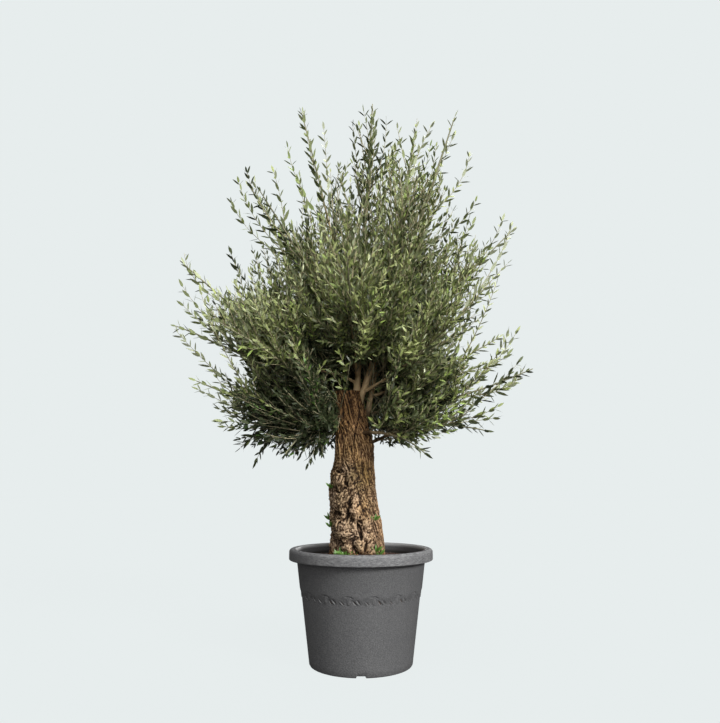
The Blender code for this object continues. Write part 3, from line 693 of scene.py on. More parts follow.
# Bark colours, dark in the cracks and light on the crests, partly the bark's own colour and
# partly painted shade and painted highlights, and the levels between which each turns into the next
CREST_BAND = (0.45, 0.98)
# Noise of the bark: cells a metre, detail and roughness
GRAIN = (300.0, 4.0, 0.7)
THREADS = (170.0, 2.0, 0.6)
MOTTLE = (110.0, 4.0, 0.7)
BARK_PATCHES = (12.0, 3.0)
MOSS = (8.0, 2.0)
BURL_BANDS = ((0.16, 0.48), (0.44, 0.78))
BURL_COLOURS = ((38, 26, 17), (98, 75, 55), (207, 178, 147))
STRING_BANDS = ((0.22, 0.48), (0.46, 0.74))
STRING_COLOURS = ((20, 12, 7), (100, 72, 45), (210, 170, 120))


def trunk_edges(heights):
    """The left and right edges at some heights, with the corners of their lines rounded."""
    levels, left, right = np.array(TRUNK_VIEW).T
    near = np.clip(np.asarray(heights)[..., None] + VIEW_ROUNDING, levels[0], levels[-1])
    return np.interp(near, levels, left).mean(-1), np.interp(near, levels, right).mean(-1)


def ridges(noise):
    """Sharp crests where noise passes its middle: 1 - |2n - 1|."""
    return 1 - np.abs(2 * noise - 1)


def cells(points, seed):
    """Distances to the nearest and to the second nearest of points strewn one to each cell of
    a lattice that repeats after 32 cells."""
    strewn = np.random.default_rng(seed).random((32, 32, 32, 3))
    cell = np.floor(points).astype(int)
    best = np.full(points.shape[:-1], np.inf)
    second = best.copy()
    for corner in np.ndindex(3, 3, 3):
        at = cell + corner - np.array(1)
        inside = at % 32
        there = at + strewn[inside[..., 0], inside[..., 1], inside[..., 2]]
        away = np.linalg.norm(there - points, axis=-1)
        second = np.minimum(np.maximum(best, away), second)
        best = np.minimum(best, away)
    return best, second


def burl_form(points, shifted, bend, fine_bend):
    """Lumps with creases between them, the domes of the burls, and winding ridges over both."""
    lumps = 0.0
    for scale, shares, seed, rise, reach, crease in LUMPS:
        at = shifted * scale
        if shares:
            at = points * scale + shares[1] * fine_bend + shares[0] * bend
        near, beyond = cells(at, seed)
        lumps = lumps + rise * (1 - smooth(0.0, reach, near))
        lumps = lumps - crease * (1 - smooth(0.0, CREASE, beyond - near))
    held_in = 1 - HELD_IN * smooth(*HELD_BAND, points[..., 0])
    for (x, z), radius, rise in BURLS:
        away = np.hypot(shifted[..., 0] - x, (shifted[..., 2] - z) * DOME_FLAT) / radius
        dome = DOME * np.exp(-away**2) - DITCH * np.exp(-((away - DITCH_AT) / DITCH_WIDTH) ** 2)
        lumps = lumps + (points[..., 1] < 0) * held_in * rise * dome
    for scale, shares, seed, sharpness, mean, rise in WINDINGS:
        at = points * scale + shares[1] * fine_bend + shares[0] * bend
        lumps = lumps + rise * (ridges(cloud(at, seed)) ** sharpness - mean)
    return lumps


def stringy_form(points, turn, bend, fine_bend):
    """Ridges drawn out along the trunk with a slight twist, on noise of the twisted direction
    (cos t, sin t) and the height."""
    height, still = points[..., 2], np.zeros_like(turn)
    sways = TWIST_SWAYS * (cloud(points * TWIST_CELLS, TWIST_SEED) - 0.5)
    twisted = turn + STRINGS_TWIST * height + sways + TWIST_BEND * fine_bend[..., 0]
    around = np.stack([np.cos(twisted), np.sin(twisted), still], -1)
    level = np.stack([still, still, height], -1) + LEVEL_BEND * bend
    turns, rises, offset, seed, depth = FLUTES
    bark = depth * (cloud(around * turns + level * rises + offset, seed) - 0.5)
    for turns, rises, shares, offset, seed, sharpness, mean, depth in STRINGS:
        at = around * turns + level * rises + shares[0] * bend + shares[1] * fine_bend + offset
        bark = bark + depth * (ridges(cloud(at, seed)) ** sharpness - mean)
    return bark


def trunk_relief(points, turn):
    """Below, burls covered by winding ridges; above, stringy bark; grit and clefts over both.
    Gives the relief, and how burled or how weathered the bark is from 0 to 1."""
    across, height = points[..., 0], points[..., 2]
    bend, fine_bend = (np.stack([cloud(points * scale, seed) for seed in seeds], -1) - 0.5
                       for scale, seeds, _ in BENDS)
    shifted = points + BENDS[0][2] * bend + BENDS[1][2] * fine_bend
    sway = cloud(points * SWAY_CELLS, SWAY_SEED) - 0.5
    moved = across + LOWERED_BEND * bend[..., 2] + LOWERED_SWAY * sway
    lowered = BURLS_LOWER * smooth(*BURLS_ACROSS, moved)
    burled = smooth(STRINGS_START, BURLS_END, height + lowered + BURLED_BEND * bend[..., 0])
    flank = smooth(*FLANK, across + FLANK_BEND * bend[..., 1])
    rough = smooth(*ROUGH_BELOW, height + ROUGH_BEND * bend[..., 1])
    tanned = smooth(*TANNED_ACROSS, across + TANNED_BEND * bend[..., 1]) * smooth(*TANNED_BELOW, height)
    weathered = np.maximum.reduce([burled, ROUGH_WEATHERS * rough, TANNED_WEATHERS * tanned])
    burled = np.maximum(burled, ROUGH_BURLS * rough) * (1 - FLANK_SMOOTHS * flank)
    relief = (burled * burl_form(points, shifted, bend, fine_bend)
              + (1 - burled) * stringy_form(points, turn, bend, fine_bend))
    grit = cloud(points * GRIT_CELLS, GRIT_SEED) - 0.5
    relief = relief + (GRIT_RISE + GRIT_ON_BURLS * burled) * grit
    relief = relief - FLANK_SINKS * smooth(*SINKS_ACROSS, across) * smooth(*SINKS_BELOW, height)
    for start, end, half_width, depth in CLEFTS:
        form = leaf_form(shifted[..., 0], shifted[..., 2], start, end, half_width)
        relief = relief - depth * np.sqrt(form) * (points[..., 1] < 0)
    return relief, weathered


def blurred(grid, reach):
    """The mean of a grid over a few rows and columns each way."""
    total = sum(np.roll(grid, step, axis=1) for step in range(-reach, reach + 1))
    padded = np.pad(total, ((reach, reach), (0, 0)), mode="edge")
    rows = len(grid)
    total = sum(padded[step:step + rows] for step in range(2 * reach + 1))
    return total / (2 * reach + 1) ** 2


trunk_low = SOIL_TOP + SOIL_GAP
trunk_top = TRUNK_VIEW[-1][0]
trunk_turn, trunk_height = np.meshgrid(
    np.arange(TRUNK_COLUMNS) * math.tau / TRUNK_COLUMNS, np.linspace(trunk_low, trunk_top, TRUNK_ROWS))
left_edge, right_edge = trunk_edges(trunk_height)
flare = np.clip(1 - (trunk_height - SOIL_TOP) / FLARE_HEIGHT, 0.0, None)
lobes = 1 + FLARE_DEPTH * flare * np.cos(FLARE_LOBES * trunk_turn + FLARE_TURN)
for count, size, start, twist in TRUNK_LOBES:
    lobes = lobes + size * np.cos(count * trunk_turn + start + twist * trunk_height)
across = lobes * np.cos(trunk_turn)
lowest, highest = across.min(1, keepdims=True), across.max(1, keepdims=True)
trunk_x = left_edge + (across - lowest) / (highest - lowest) * (right_edge - left_edge)
trunk_y = lobes * np.sin(trunk_turn) * (right_edge - left_edge) / 2 * TRUNK_DEPTH
trunk_grid = np.stack([trunk_x, trunk_y, trunk_height], -1)
outward = np.stack([trunk_x - (left_edge + right_edge) / 2, trunk_y, np.zeros_like(trunk_x)], -1)
outward /= np.linalg.norm(outward, axis=-1, keepdims=True)
relief, weathered = trunk_relief(trunk_grid, trunk_turn)
fine_crests = np.clip((relief - blurred(relief, FINE_BLUR)) / FINE_CREST, -1, 1)
broad_crests = np.clip((relief - blurred(relief, BROAD_BLUR)) / BROAD_CREST, -1, 1)
crest_height = FINE_SHARE * fine_crests + BROAD_SHARE * np.minimum(broad_crests, BROAD_MOST)
trunk_grid = trunk_grid + relief[..., None] * outward
cut_middle = trunk_grid[-1].mean(0)
cut_grid = np.array(CUT_RINGS)[:, None, None] * (trunk_grid[-1] - cut_middle) + cut_middle
cut_grid[..., 2] = trunk_top
cut_rings = np.sin(np.linalg.norm(cut_grid - cut_middle, axis=-1) * 900)
trunk_points = np.concatenate([
    trunk_grid.reshape(-1, 3), cut_grid.reshape(-1, 3),
    [trunk_grid[0].mean(0), cut_middle],
])
trunk_crests = np.concatenate([
    (0.5 + 0.5 * np.clip(crest_height, -1, 1)).ravel(), (0.55 + 0.12 * cut_rings).ravel(), [0.5, 0.5]])
trunk_weathered = np.concatenate([weathered.ravel(), np.full(cut_rings.size, 0.6), [0.5, 0.6]])


def bark_links(shade, place):
    """Dark in the cracks and light on the crests, partly the bark's own colour and partly painted
    shade and painted highlights: grey-tan where it is burled, brown on the strings, both mottled,
    with a fine stringy grain; tinted in patches, with moss and damp at the foot, with a painted
    shadow of the crown on top, painted shade on the right and in a mossy hollow, and a painted
    highlight on the right flank."""
    crest = shade.attribute("crest")
    weathered = shade.attribute("weathered")
    stretched = place.scaled(1.0, 1.0, 0.12)
    grain = shade.noise(stretched, *GRAIN)
    swirls = shade.node("ShaderNodeTexNoise", {}, {
        "Vector": place, "Scale": 90.0, "Detail": 2.0, "Roughness": 0.6, "Distortion": 1.2})
    knobs = swirls.crests().between(*CREST_BAND)
    threads = shade.noise(stretched, *THREADS).crests().between(*CREST_BAND)
    detail = threads + weathered * (knobs - threads)
    mottle = shade.noise(place, *MOTTLE)
    patches = shade.noise(place, *BARK_PATCHES)
    moss = shade.noise(place, *MOSS)
    # Painted shade in the cracks and painted highlights on the crests, over the bark's own light and
    # dark
    level = crest * 0.62 + detail * 0.50 + grain * 0.16 + mottle * 0.80 - 0.72
    burls, strings = level.ramp(BURL_BANDS, BURL_COLOURS), level.ramp(STRING_BANDS, STRING_COLOURS)
    colour = weathered.mix(strings, burls)
    rise, across = place.part(2), place.part(0)
    damp = (rise + patches * 0.08).between(0.50, 0.45)
    # Painted shade over the right of the lower trunk, toning down the lamp's light there
    painted_shade_right = across.between(0.02, 0.06) * rise.between(0.90, 0.80)
    # A darker greenish hollow: moss with painted shade
    moss_and_shade_hollow = ((across + patches * 0.10).between(-0.015, 0.045) * across.between(0.065, 0.030)
              * (rise + moss * 0.06).between(0.69, 0.75) * rise.between(0.83, 0.77))
    # Painted highlight down the right edge of the lower trunk, where the lamp catches it
    flank = across.between(0.058, 0.082) * rise.between(0.67, 0.61)
    for share, tint in (
        (patches.between(0.42, 0.68), (0.80, 0.82, 0.86)),
        (moss.between(0.42, 0.60), (0.76, 0.75, 0.66)),
        (damp, (0.86, 0.64, 0.48)),
        # Painted shadow of the crown over the top of the trunk
        (rise.between(0.86, 0.99), (0.62, 0.56, 0.52)),
        (painted_shade_right, (0.80, 0.77, 0.74)),
        (moss_and_shade_hollow, (0.60, 0.60, 0.48)),
        (flank, (1.28, 1.22, 1.12)),
    ):
        colour = share.mix(colour, tint, "MULTIPLY")
    bump = (detail * 0.7 + grain * 0.5).bump(0.8, 0.004)
    return {"Base Color": colour, "Normal": bump}


olive_bark = new_finish("olive_bark", {"Roughness": 0.88, "Specular IOR Level": 0.25}, bark_links)
trunk = new_piece("bark_trunk", trunk_points, closed_faces(TRUNK_ROWS + len(CUT_RINGS), TRUNK_COLUMNS),
                  [olive_bark], [("crest", trunk_crests), ("weathered", trunk_weathered)])
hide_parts("trunk")

# Boughs
# Young boughs that sprouted round the saw cut, each a tapering limb with a swollen foot and
# thin smooth bark; inside the crown each one runs on as the stem of its own mass.
CROWN_X = -0.03
TIERS = (
    {
        "bare": 0.36, "bow": 0.00, "lift": 0.25, "radius": 0.0135, "rows": (
            ("crest", "trunk", 1.075, 345, 0.09, 2.53),
            ("upper_right", "trunk", 1.030, 335, 0.50, 2.33),
            ("top_right", "trunk", 0.890, 22, 0.33, 2.47),
        ),
    },
    {
        "bare": 0.32, "bow": 0.06, "lift": 0.25, "radius": 0.0085, "rows": (
            ("back_middle", "trunk", 1.030, 92, 0.70, 1.42),
            ("back_left_middle", "trunk", 0.985, 140, 0.72, 1.36),
            ("back_right_middle", "trunk", 0.960, 48, 0.67, 1.38),
            ("left_middle", "trunk", 0.955, 184, 0.80, 1.40),
        ),
    },
    {
        "bare": 0.36, "bow": 0.02, "lift": 0.25, "radius": 0.0062, "rows": (
            ("top_left", "crest", 0.42, 186, 0.26, 2.48),
            ("upper_left", "crest", 0.30, 172, 0.52, 2.14),
            ("back_top", "crest", 0.52, 95, 0.42, 2.24),
            ("right_spike", "top_right", 0.50, 2, 0.75, 1.89),
            ("front_left_upper", "crest", 0.36, 228, 0.56, 1.86),
            ("front_right_upper", "upper_right", 0.34, 296, 0.50, 1.84),
            ("back_left_upper", "crest", 0.24, 132, 0.64, 1.94),
            ("back_right_upper", "top_right", 0.58, 55, 0.62, 1.96),
        ),
    },
    {
        "bare": 0.34, "bow": -0.04, "lift": 0.10, "radius": 0.0056, "rows": (
            ("left_spike", "crest", 0.14, 178, 0.82, 1.74),
            ("left_low", "left_middle", 0.22, 200, 0.68, 1.12),
            ("front_middle", "crest", 0.19, 268, 0.62, 1.52),
            ("front_left_middle", "left_spike", 0.18, 222, 0.72, 1.32),
            ("front_right_middle", "upper_right", 0.16, 318, 0.54, 1.34),
            ("right_middle", "top_right", 0.36, 10, 0.69, 1.39),
            ("right_low", "top_right", 0.22, 354, 0.78, 1.20),
        ),
    },
    {
        "bare": 0.34, "bow": 0.10, "lift": -0.25, "radius": 0.0065, "rows": (
            ("front_left_bottom", "trunk", 1.000, 232, 0.42, 0.82),
            ("front_right_bottom", "trunk", 0.925, 322, 0.36, 0.83),
            ("right_bottom", "trunk", 0.870, 348, 0.56, 0.93),
            ("left_bottom", "left_middle", 0.45, 176, 0.50, 0.87),
            ("back_left_bottom", "back_left_middle", 0.35, 124, 0.55, 0.92),
            ("back_right_bottom", "back_right_middle", 0.35, 56, 0.55, 0.94),
        ),
    },
)
BOUGH_START = 0.60
FORK_TAPER = 0.7
TIP_RADIUS = 0.0019
TAPER_CURVE = 0.8
BOUGH_SIDES = 18
BOUGH_RINGS = 84
COLLAR_SIZE = 0.55
COLLAR_LENGTH = 0.035
UP = np.array([0.0, 0.0, 1.0])
BOUGH_SWAY, SWAYS_CELLS, SWAYS_SEEDS = 0.012, 9, (41, 42, 43)
YOUNG_BARK_RELIEF, YOUNG_BARK_CELLS, YOUNG_BARK_SEEDS = 0.30, (60, 110), (44, 45)
YOUNG_BARK_COLOURS = ((104, 88, 64), (196, 172, 132))
YOUNG_BARK_TIP = (134, 132, 106)
YOUNG_BARK_FOOT_SHADE = (80, 62, 42)
YOUNG_BARK_PAINTED_LIGHT = (214, 184, 138)


def curve(start, middle, tip, shares):
    """Points of quadratic curves: (1 - t)^2 start + 2t (1 - t) middle + t^2 tip, for arrays of
    curves and of shares t along each."""
    t = np.asarray(shares)[..., None]
    start, middle, tip = (corner[..., None, :] for corner in (start, middle, tip))
    return (1 - t) ** 2 * start + 2 * t * (1 - t) * middle + t**2 * tip


def bowed(start, tip, bow):
    """Middle points that make curves rise from their straight lines by bow times length."""
    run = tip - start
    length = np.linalg.norm(run, axis=-1, keepdims=True)
    rise = UP - run * (run @ UP)[..., None] / length**2
    return (start + tip) / 2 + rise * np.asarray(bow)[..., None] * length * 2


def bent(start, tip, bow, shares):
    """Points of curves that rise by the bow, at some shares of their way."""
    return curve(start, bowed(start, tip, bow), tip, shares)


def unit(vectors):
    """Vectors of length one."""
    return vectors / np.linalg.norm(vectors, axis=-1, keepdims=True)


def square_to(ahead):
    """Two directions square to some directions and to each other; the first is level."""
    across = np.cross(ahead, UP)
    flat = np.linalg.norm(across, axis=-1, keepdims=True) < 0.02
    across = unit(np.where(flat, np.cross(ahead, (0.0, 1.0, 0.0)), across))
    return across, np.cross(ahead, across)


def tubes(paths, radii, sides):
    """Rings of points round many paths: centre + radius * (cos(t) across + sin(t) over)."""
    ahead = unit(np.gradient(paths, axis=1))
    across, over = square_to(ahead)
    turn = (np.arange(sides) * math.tau / sides)[:, None]
    ring = np.cos(turn) * across[:, :, None, :] + np.sin(turn) * over[:, :, None, :]
    return paths[:, :, None, :] + radii[:, :, None, None] * ring


def tube_faces(count, rings, sides):
    """Quads round many tubes, and one polygon at each end of each."""
    first = (np.arange(count) * rings * sides)[:, None, None]
    body = (first + grid_faces(rings, sides)[None]).reshape(-1, 4)
    side = np.arange(sides)
    foot = first[:, :, 0] + side[::-1]
    head = first[:, :, 0] + (rings - 1) * sides + side
    return [body, np.concatenate([foot, head])]


def along_limbs(numbers, shares):
    """Points of some limbs, at some shares of the way along each."""
    return bent(*(limbs[key][numbers] for key in ("start", "tip", "bow")), shares)


def numbered(counts):
    """Repeats things by their counts: the number of each one's owner, and its own number there."""
    owner = np.repeat(np.arange(len(counts)), counts)
    return owner, np.arange(len(owner)) - (np.cumsum(counts) - counts)[owner]


limb_names, limb_rows = [], []
for tier in TIERS:
    for name, parent, fork, angle, reach, height in tier["rows"]:
        turn = math.radians(angle)
        outwards = np.array([math.cos(turn), math.sin(turn), 0.0])
        tip = np.array([CROWN_X, 0.0, height]) + reach * outwards
        radius = tier["radius"]
        if parent == "trunk":
            left, right = trunk_edges(fork)
            start = np.array([(left + right) / 2, 0.0, fork])
            start = start + BOUGH_START * (right - left) / 2 * outwards
        else:
            carrier = limb_rows[limb_names.index(parent)]
            share = fork * carrier["bare"]
            start = bent(carrier["start"], carrier["tip"], carrier["bow"], [share])[0]
            thick = TIP_RADIUS + (carrier["radius"] - TIP_RADIUS) * (1 - share) ** TAPER_CURVE
            radius = min(radius, FORK_TAPER * thick)
        limb_names.append(name)
        limb_rows.append({"start": start, "tip": tip, "bow": tier["bow"], "bare": tier["bare"],
                          "lift": tier["lift"], "radius": radius})
limbs = {key: np.array([row[key] for row in limb_rows]) for key in limb_rows[0]}
limb_count = len(limb_names)
every_limb = np.arange(limb_count)
limb_length = np.linalg.norm(limbs["tip"] - limbs["start"], axis=-1)
bough_shares = np.tile(np.linspace(0.0, 1.0, BOUGH_RINGS), (limb_count, 1))
bough_paths = along_limbs(every_limb, bough_shares)
sway = np.stack([cloud(bough_paths * SWAYS_CELLS, seed) for seed in SWAYS_SEEDS], -1) - 0.5
bough_paths = bough_paths + sway * BOUGH_SWAY * np.sin(np.pi * bough_shares)[..., None]
bough_radii = TIP_RADIUS + (limbs["radius"][:, None] - TIP_RADIUS) * (1 - bough_shares) ** TAPER_CURVE
along = bough_shares * limb_length[:, None]
bough_radii = bough_radii * (1 + COLLAR_SIZE * np.exp(-along / COLLAR_LENGTH))
bough_points = tubes(bough_paths, bough_radii, BOUGH_SIDES)
soft, sharp = (cloud(bough_points * scale, seed)
               for scale, seed in zip(YOUNG_BARK_CELLS, YOUNG_BARK_SEEDS))
bough_relief = YOUNG_BARK_RELIEF * (soft - 0.5) + YOUNG_BARK_RELIEF * (ridges(sharp) - 0.5)
middle = bough_paths[:, :, None, :]
bough_points = middle + (bough_points - middle) * (1 + bough_relief[..., None])
bough_crests = np.clip(0.52 + 1.1 * bough_relief, 0, 1)


def young_bark_links(shade, place):
    """Grey-brown young bark, lighter on its crests, and grey-green towards the tips; painted shade on
    the feet of the low boughs and painted light on the bare feet of the high ones.
    """
    crest = shade.attribute("crest")
    grain = shade.noise(place, 240.0, 3.0, 0.6)
    level = crest * 0.7 + grain * 0.3
    colour = level.between(0.25, 0.75).mix(*map(linear, YOUNG_BARK_COLOURS))
    outwards = shade.attribute("outwards")
    colour = outwards.between(0.35, 0.75).mix(colour, linear(YOUNG_BARK_TIP))
    rise = place.part(2)
    # Painted shade on the feet of the low boughs, under the crown
    shaded_low_foot = outwards.between(0.26, 0.14) * rise.between(1.05, 1.01)
    colour = shaded_low_foot.mix(colour, linear(YOUNG_BARK_FOOT_SHADE))
    # Painted light on the bare feet of the high boughs, which lie in the crown's shade
    bare = outwards.between(0.34, 0.16) * rise.between(1.05, 1.12)
    colour = (bare * 0.6).mix(colour, linear(YOUNG_BARK_PAINTED_LIGHT))
    bump = grain.bump(0.5, 0.0015)
    return {"Base Color": colour, "Normal": bump}


young_bark = new_finish("young_bark", {"Roughness": 0.80, "Specular IOR Level": 0.3}, young_bark_links)
boughs = new_piece("bark_boughs", bough_points, tube_faces(limb_count, BOUGH_RINGS, BOUGH_SIDES),
                   [young_bark],
                   [("crest", bough_crests), ("outwards", np.repeat(bough_shares, BOUGH_SIDES))])
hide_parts(*(f"bough_{name}" for name in limb_names))

# Shoots and twigs
# Long straight shoots leave each stem by the golden angle, twigs leave the shoots in turn to
# three sides, and spurs leave the twigs, as in the solid masses, only closer and finer.
CROWN_OUTLINE = (
    (0.77, 0.28, 0.16),
    (0.85, 0.46, 0.34),
    (0.92, 0.54, 0.50),
    (1.00, 0.60, 0.64),
    (1.20, 0.72, 0.79),
    (1.40, 0.83, 0.73),
    (1.50, 0.82, 0.62),
    (1.74, 0.83, 0.72),
    (1.90, 0.60, 0.76),
    (2.15, 0.55, 0.58),
    (2.35, 0.36, 0.50),
    (2.49, 0.28, 0.32),
    (2.54, 0.12, 0.18),
)
CROWN_DEPTH = 0.94
# The dense body of the crown seen from the front: height, left edge and right edge
BODY_VIEW = (
    (0.78, -0.33, 0.10),
    (0.85, -0.36, 0.19),
    (0.92, -0.50, 0.31),
    (0.99, -0.56, 0.45),
    (1.08, -0.59, 0.49),
    (1.17, -0.53, 0.50),
    (1.24, -0.50, 0.48),
    (1.31, -0.54, 0.35),
    (1.37, -0.58, 0.40),
    (1.44, -0.64, 0.45),
    (1.50, -0.66, 0.50),
    (1.57, -0.52, 0.54),
    (1.63, -0.47, 0.55),
    (1.73, -0.51, 0.55),
    (1.83, -0.52, 0.48),
    (1.93, -0.28, 0.42),
    (2.03, -0.15, 0.42),
    (2.14, -0.12, 0.34),
    (2.22, -0.07, 0.20),
    (2.30, 0.00, 0.14),
    (2.36, 0.03, 0.12),
)
# Its lower edge seen from the front: place across and height
BODY_FOOT = (
    (-0.66, 1.03),
    (-0.60, 0.95),
    (-0.50, 0.88),
    (-0.44, 0.805),
    (-0.39, 0.835),
    (-0.33, 0.765),
    (-0.26, 0.755),
    (-0.19, 0.815),
    (-0.11, 0.81),
    (-0.04, 0.90),
    (0.09, 0.885),
    (0.15, 0.870),
    (0.22, 0.900),
    (0.31, 0.93),
    (0.42, 0.965),
    (0.52, 0.985),
    (0.62, 1.06),
)
BODY_SHARE = 0.86
# Single leading shoots that stand out of the body, read off the photo: the tip, and
# the point below it that the shoot bends towards, each as the column and row of a pixel
LEADERS = (
    ((177, 253), (190, 292)), ((183, 287), (202, 318)), ((181, 303), (207, 332)),
    ((201, 292), (206, 322)), ((209, 303), (216, 332)), ((216, 295), (231, 326)),
    ((223, 294), (233, 322)), ((236, 285), (246, 312)), ((172, 329), (206, 367)),
    ((199, 390), (220, 401)), ((214, 372), (223, 394)), ((226, 377), (241, 389)),
    ((220, 409), (238, 421)), ((222, 421), (246, 422)), ((224, 426), (246, 434)),
    ((242, 443), (262, 438)), ((257, 459), (264, 440)), ((231, 253), (240, 276)),
    ((239, 183), (250, 226)), ((232, 203), (245, 238)), ((247, 173), (258, 212)),
    ((255, 183), (262, 225)), ((267, 207), (271, 242)), ((274, 173), (284, 206)),
    ((288, 148), (294, 190)), ((300, 178), (300, 215)), ((303, 113), (311, 165)),
    ((324, 130), (328, 180)), ((339, 168), (345, 205)), ((353, 127), (357, 175)),
    ((364, 113), (373, 150)), ((373, 105), (373, 160)), ((386, 105), (388, 160)),
    ((399, 142), (390, 165)), ((396, 150), (392, 190)), ((417, 118), (412, 170)),
    ((431, 127), (410, 165)), ((430, 147), (424, 185)), ((436, 147), (430, 190)),
    ((453, 137), (434, 180)), ((440, 178), (438, 215)), ((469, 157), (462, 200)),
    ((475, 202), (462, 232)), ((472, 225), (460, 250)), ((463, 245), (452, 262)),
    ((486, 245), (474, 268)), ((502, 221), (488, 262)), ((511, 227), (500, 268)),
    ((507, 264), (488, 284)), ((485, 296), (468, 308)), ((476, 316), (452, 325)),
    ((467, 331), (447, 346)), ((474, 350), (460, 366)), ((507, 335), (496, 368)),
    ((516, 333), (498, 366)), ((507, 355), (490, 374)), ((518, 363), (497, 390)),
    ((531, 368), (513, 397)), ((520, 378), (500, 394)), ((497, 407), (483, 416)),
    ((494, 418), (478, 421)), ((467, 421), (450, 422)), ((448, 431), (430, 430)),
)
LEADER_SPREAD = 0.28
LEADER_DEPTHS = (-1.0, 0.35)
# Tips that were read beyond these are pulled in, to stay within the solids
LEADER_EDGES = (-0.845, 0.735)
LEADER_TOP = 2.525
LEADER_MARGIN = 0.006
# A leader is drawn on past its middle and in towards the axis to find the stem it springs from
LEADER_AIMS = 0.9
LEADER_TURNS_IN = 0.25
LEADER_LAST = 0.98
STEM_POINTS = 40
SEED = 27
GOLDEN_ANGLE = math.radians(137.5)
THIRD = math.tau / 3
SHOOT_SPACING = 0.022
SHOOT_INNER = 0.20
# Limbs that carry more or fewer shoots than the rest
FULLER = {
    "left_bottom": 3.0, "front_left_bottom": 3.2, "left_low": 2.2, "back_left_bottom": 2.6,
    "right_bottom": 1.3, "front_right_bottom": 1.3, "right_low": 1.2, "back_right_bottom": 1.4,
    "left_spike": 1.5, "upper_left": 0.9, "front_left_upper": 0.9, "back_left_upper": 0.8,
    "upper_right": 1.1, "right_spike": 1.3, "crest": 0.6, "back_top": 0.3, "back_right_upper": 0.6,
    "top_right": 0.65, "top_left": 0.75, "front_right_upper": 0.9,
}
SHOOT_LAST = 0.95
SHOOT_LENGTH = 0.28
SHOOT_SHORTENS = 0.60
SHOOT_ANGLE = math.radians(46)
SHOOT_LIFT = 0.40
FAN_FROM = np.array([-0.02, 0.02, 0.90])
FAN_SHARES = (0.0, 0.85)
FAN_OPENS = (0.25, 0.70)
SPRAY_LENGTH = 0.20
SPRAY_SHRINKS = 0.45
SHOOT_VARIES = (0.80, 1.12)
SHOOT_TRIES = (1.0, 0.85, 0.7, 0.55, 0.4)
SHOOT_STANDS_OUT = (-0.07, 0.11)
SHOOT_BOW = -0.05
SHOOT_RADIUS = 0.0028
LEADER_RADIUS = 0.0021
TWIG_RADIUS = 0.0018
TWIG_TIP_RADIUS = 0.0008
TWIG_SPACING = 0.042
TWIG_ANGLE = math.radians(24)
TWIG_VARIES = (0.60, 1.05)
TWIG_TRIES = (1.0, 0.7, 0.45)
SPUR_SPACING = 0.055
SPUR_ANGLE = math.radians(36)
SPUR_LENGTH = 0.085
INNER_SHOOTS = 16
INNER_LENGTH = (0.10, 0.24)
INNER_BELOW = 1.35
THINS_FROM, THINS_TO, THINS_BY = 1.35, 1.90, 0.92
TWIG_COLOURS = ((122, 114, 84), (176, 167, 132))
CLEAR_OF_TRUNK = 0.02
FILLS_WITHIN = 0.17
# Places that stay open in front of the trunk and of the boughs: left, right, low and high
WINDOWS = (
    (-0.135, 0.050, 0.40, 0.92),
    (-0.098, 0.010, 0.92, 1.00),
    (-0.098, -0.050, 1.00, 1.10),
    (0.020, 0.075, 1.02, 1.08),
    (-0.050, 0.110, 1.08, 1.24),
    (0.045, 0.150, 0.895, 0.945),
)


def reach_towards(points):
    """How far the crown reaches at the height and in the direction of each point:
    side^2 * (left or right reach) + (1 - side^2) * depth * (their mean)."""
    levels, left, right = np.array(CROWN_OUTLINE).T
    from_axis = points[..., :2] - (CROWN_X, 0.0)
    away = np.linalg.norm(from_axis, axis=-1) + 1e-9
    side = from_axis[..., 0] / away
    to_left, to_right = (np.interp(points[..., 2], levels, edge) for edge in (left, right))
    reach = CROWN_DEPTH * (to_left + to_right) / 2 * (1 - side**2)
    reach += np.where(side > 0, to_right, to_left) * side**2
    return away, np.where((points[..., 2] > levels[0]) & (points[..., 2] < levels[-1]), reach, 0.0)


def from_front(points):
    """Where points show on the upright plane through the trunk, seen from the camera."""
    eye = np.array(CAMERA_PLACE)
    share = eye[1] / (eye[1] - points[..., 1])
    return eye[0] + (points[..., 0] - eye[0]) * share, eye[2] + (points[..., 2] - eye[2]) * share


def depth_in_body(points, foot_counts=1.0):
    """How far points lie inside the edges of the dense body, in the view from the front."""
    x, z = from_front(points)
    levels, left, right = np.array(BODY_VIEW).T
    return np.minimum.reduce([
        x - np.interp(z, levels, left), np.interp(z, levels, right) - x,
        levels[-1] - z, (z - np.interp(x, *np.array(BODY_FOOT).T)) * foot_counts])


def in_body(points, margin=0.0):
    """True for points within the dense body, in space and in the view from the front."""
    away, reach = reach_towards(points)
    return (depth_in_body(points) > -margin) & (away < reach * BODY_SHARE + margin)


def fullness(points):
    """The share of twigs that grow at some points: all of them deep in the body and along its
    foot, none at its other edges, and fewer towards the top."""
    away, reach = reach_towards(points)
    depth = np.minimum(depth_in_body(points, 6.0), reach * BODY_SHARE - away)
    return smooth(-0.02, FILLS_WITHIN, depth) * (
        1 - THINS_BY * smooth(THINS_FROM, THINS_TO, points[..., 2]))


def in_the_open(points):
    """True for points clear of the trunk, and of the open places in front of it."""
    left, right = trunk_edges(points[..., 2])
    away = np.hypot(points[..., 0] - (left + right) / 2, points[..., 1])
    clear = (away > (right - left) / 2 + CLEAR_OF_TRUNK) | (points[..., 2] > trunk_top + 0.01)
    x, z = from_front(points)
    for low, high, bottom, top in WINDOWS:
        clear &= ~((points[..., 1] < 0.01) & (x > low) & (x < high) & (z > bottom) & (z < top))
    return clear


def leaning(along, angle, turn):
    """Directions that leave others at an angle, turned about them."""
    across, over = square_to(along)
    turn, angle = np.asarray(turn)[..., None], np.asarray(angle)[..., None]
    side = np.cos(turn) * across + np.sin(turn) * over
    return np.cos(angle) * along + np.sin(angle) * side


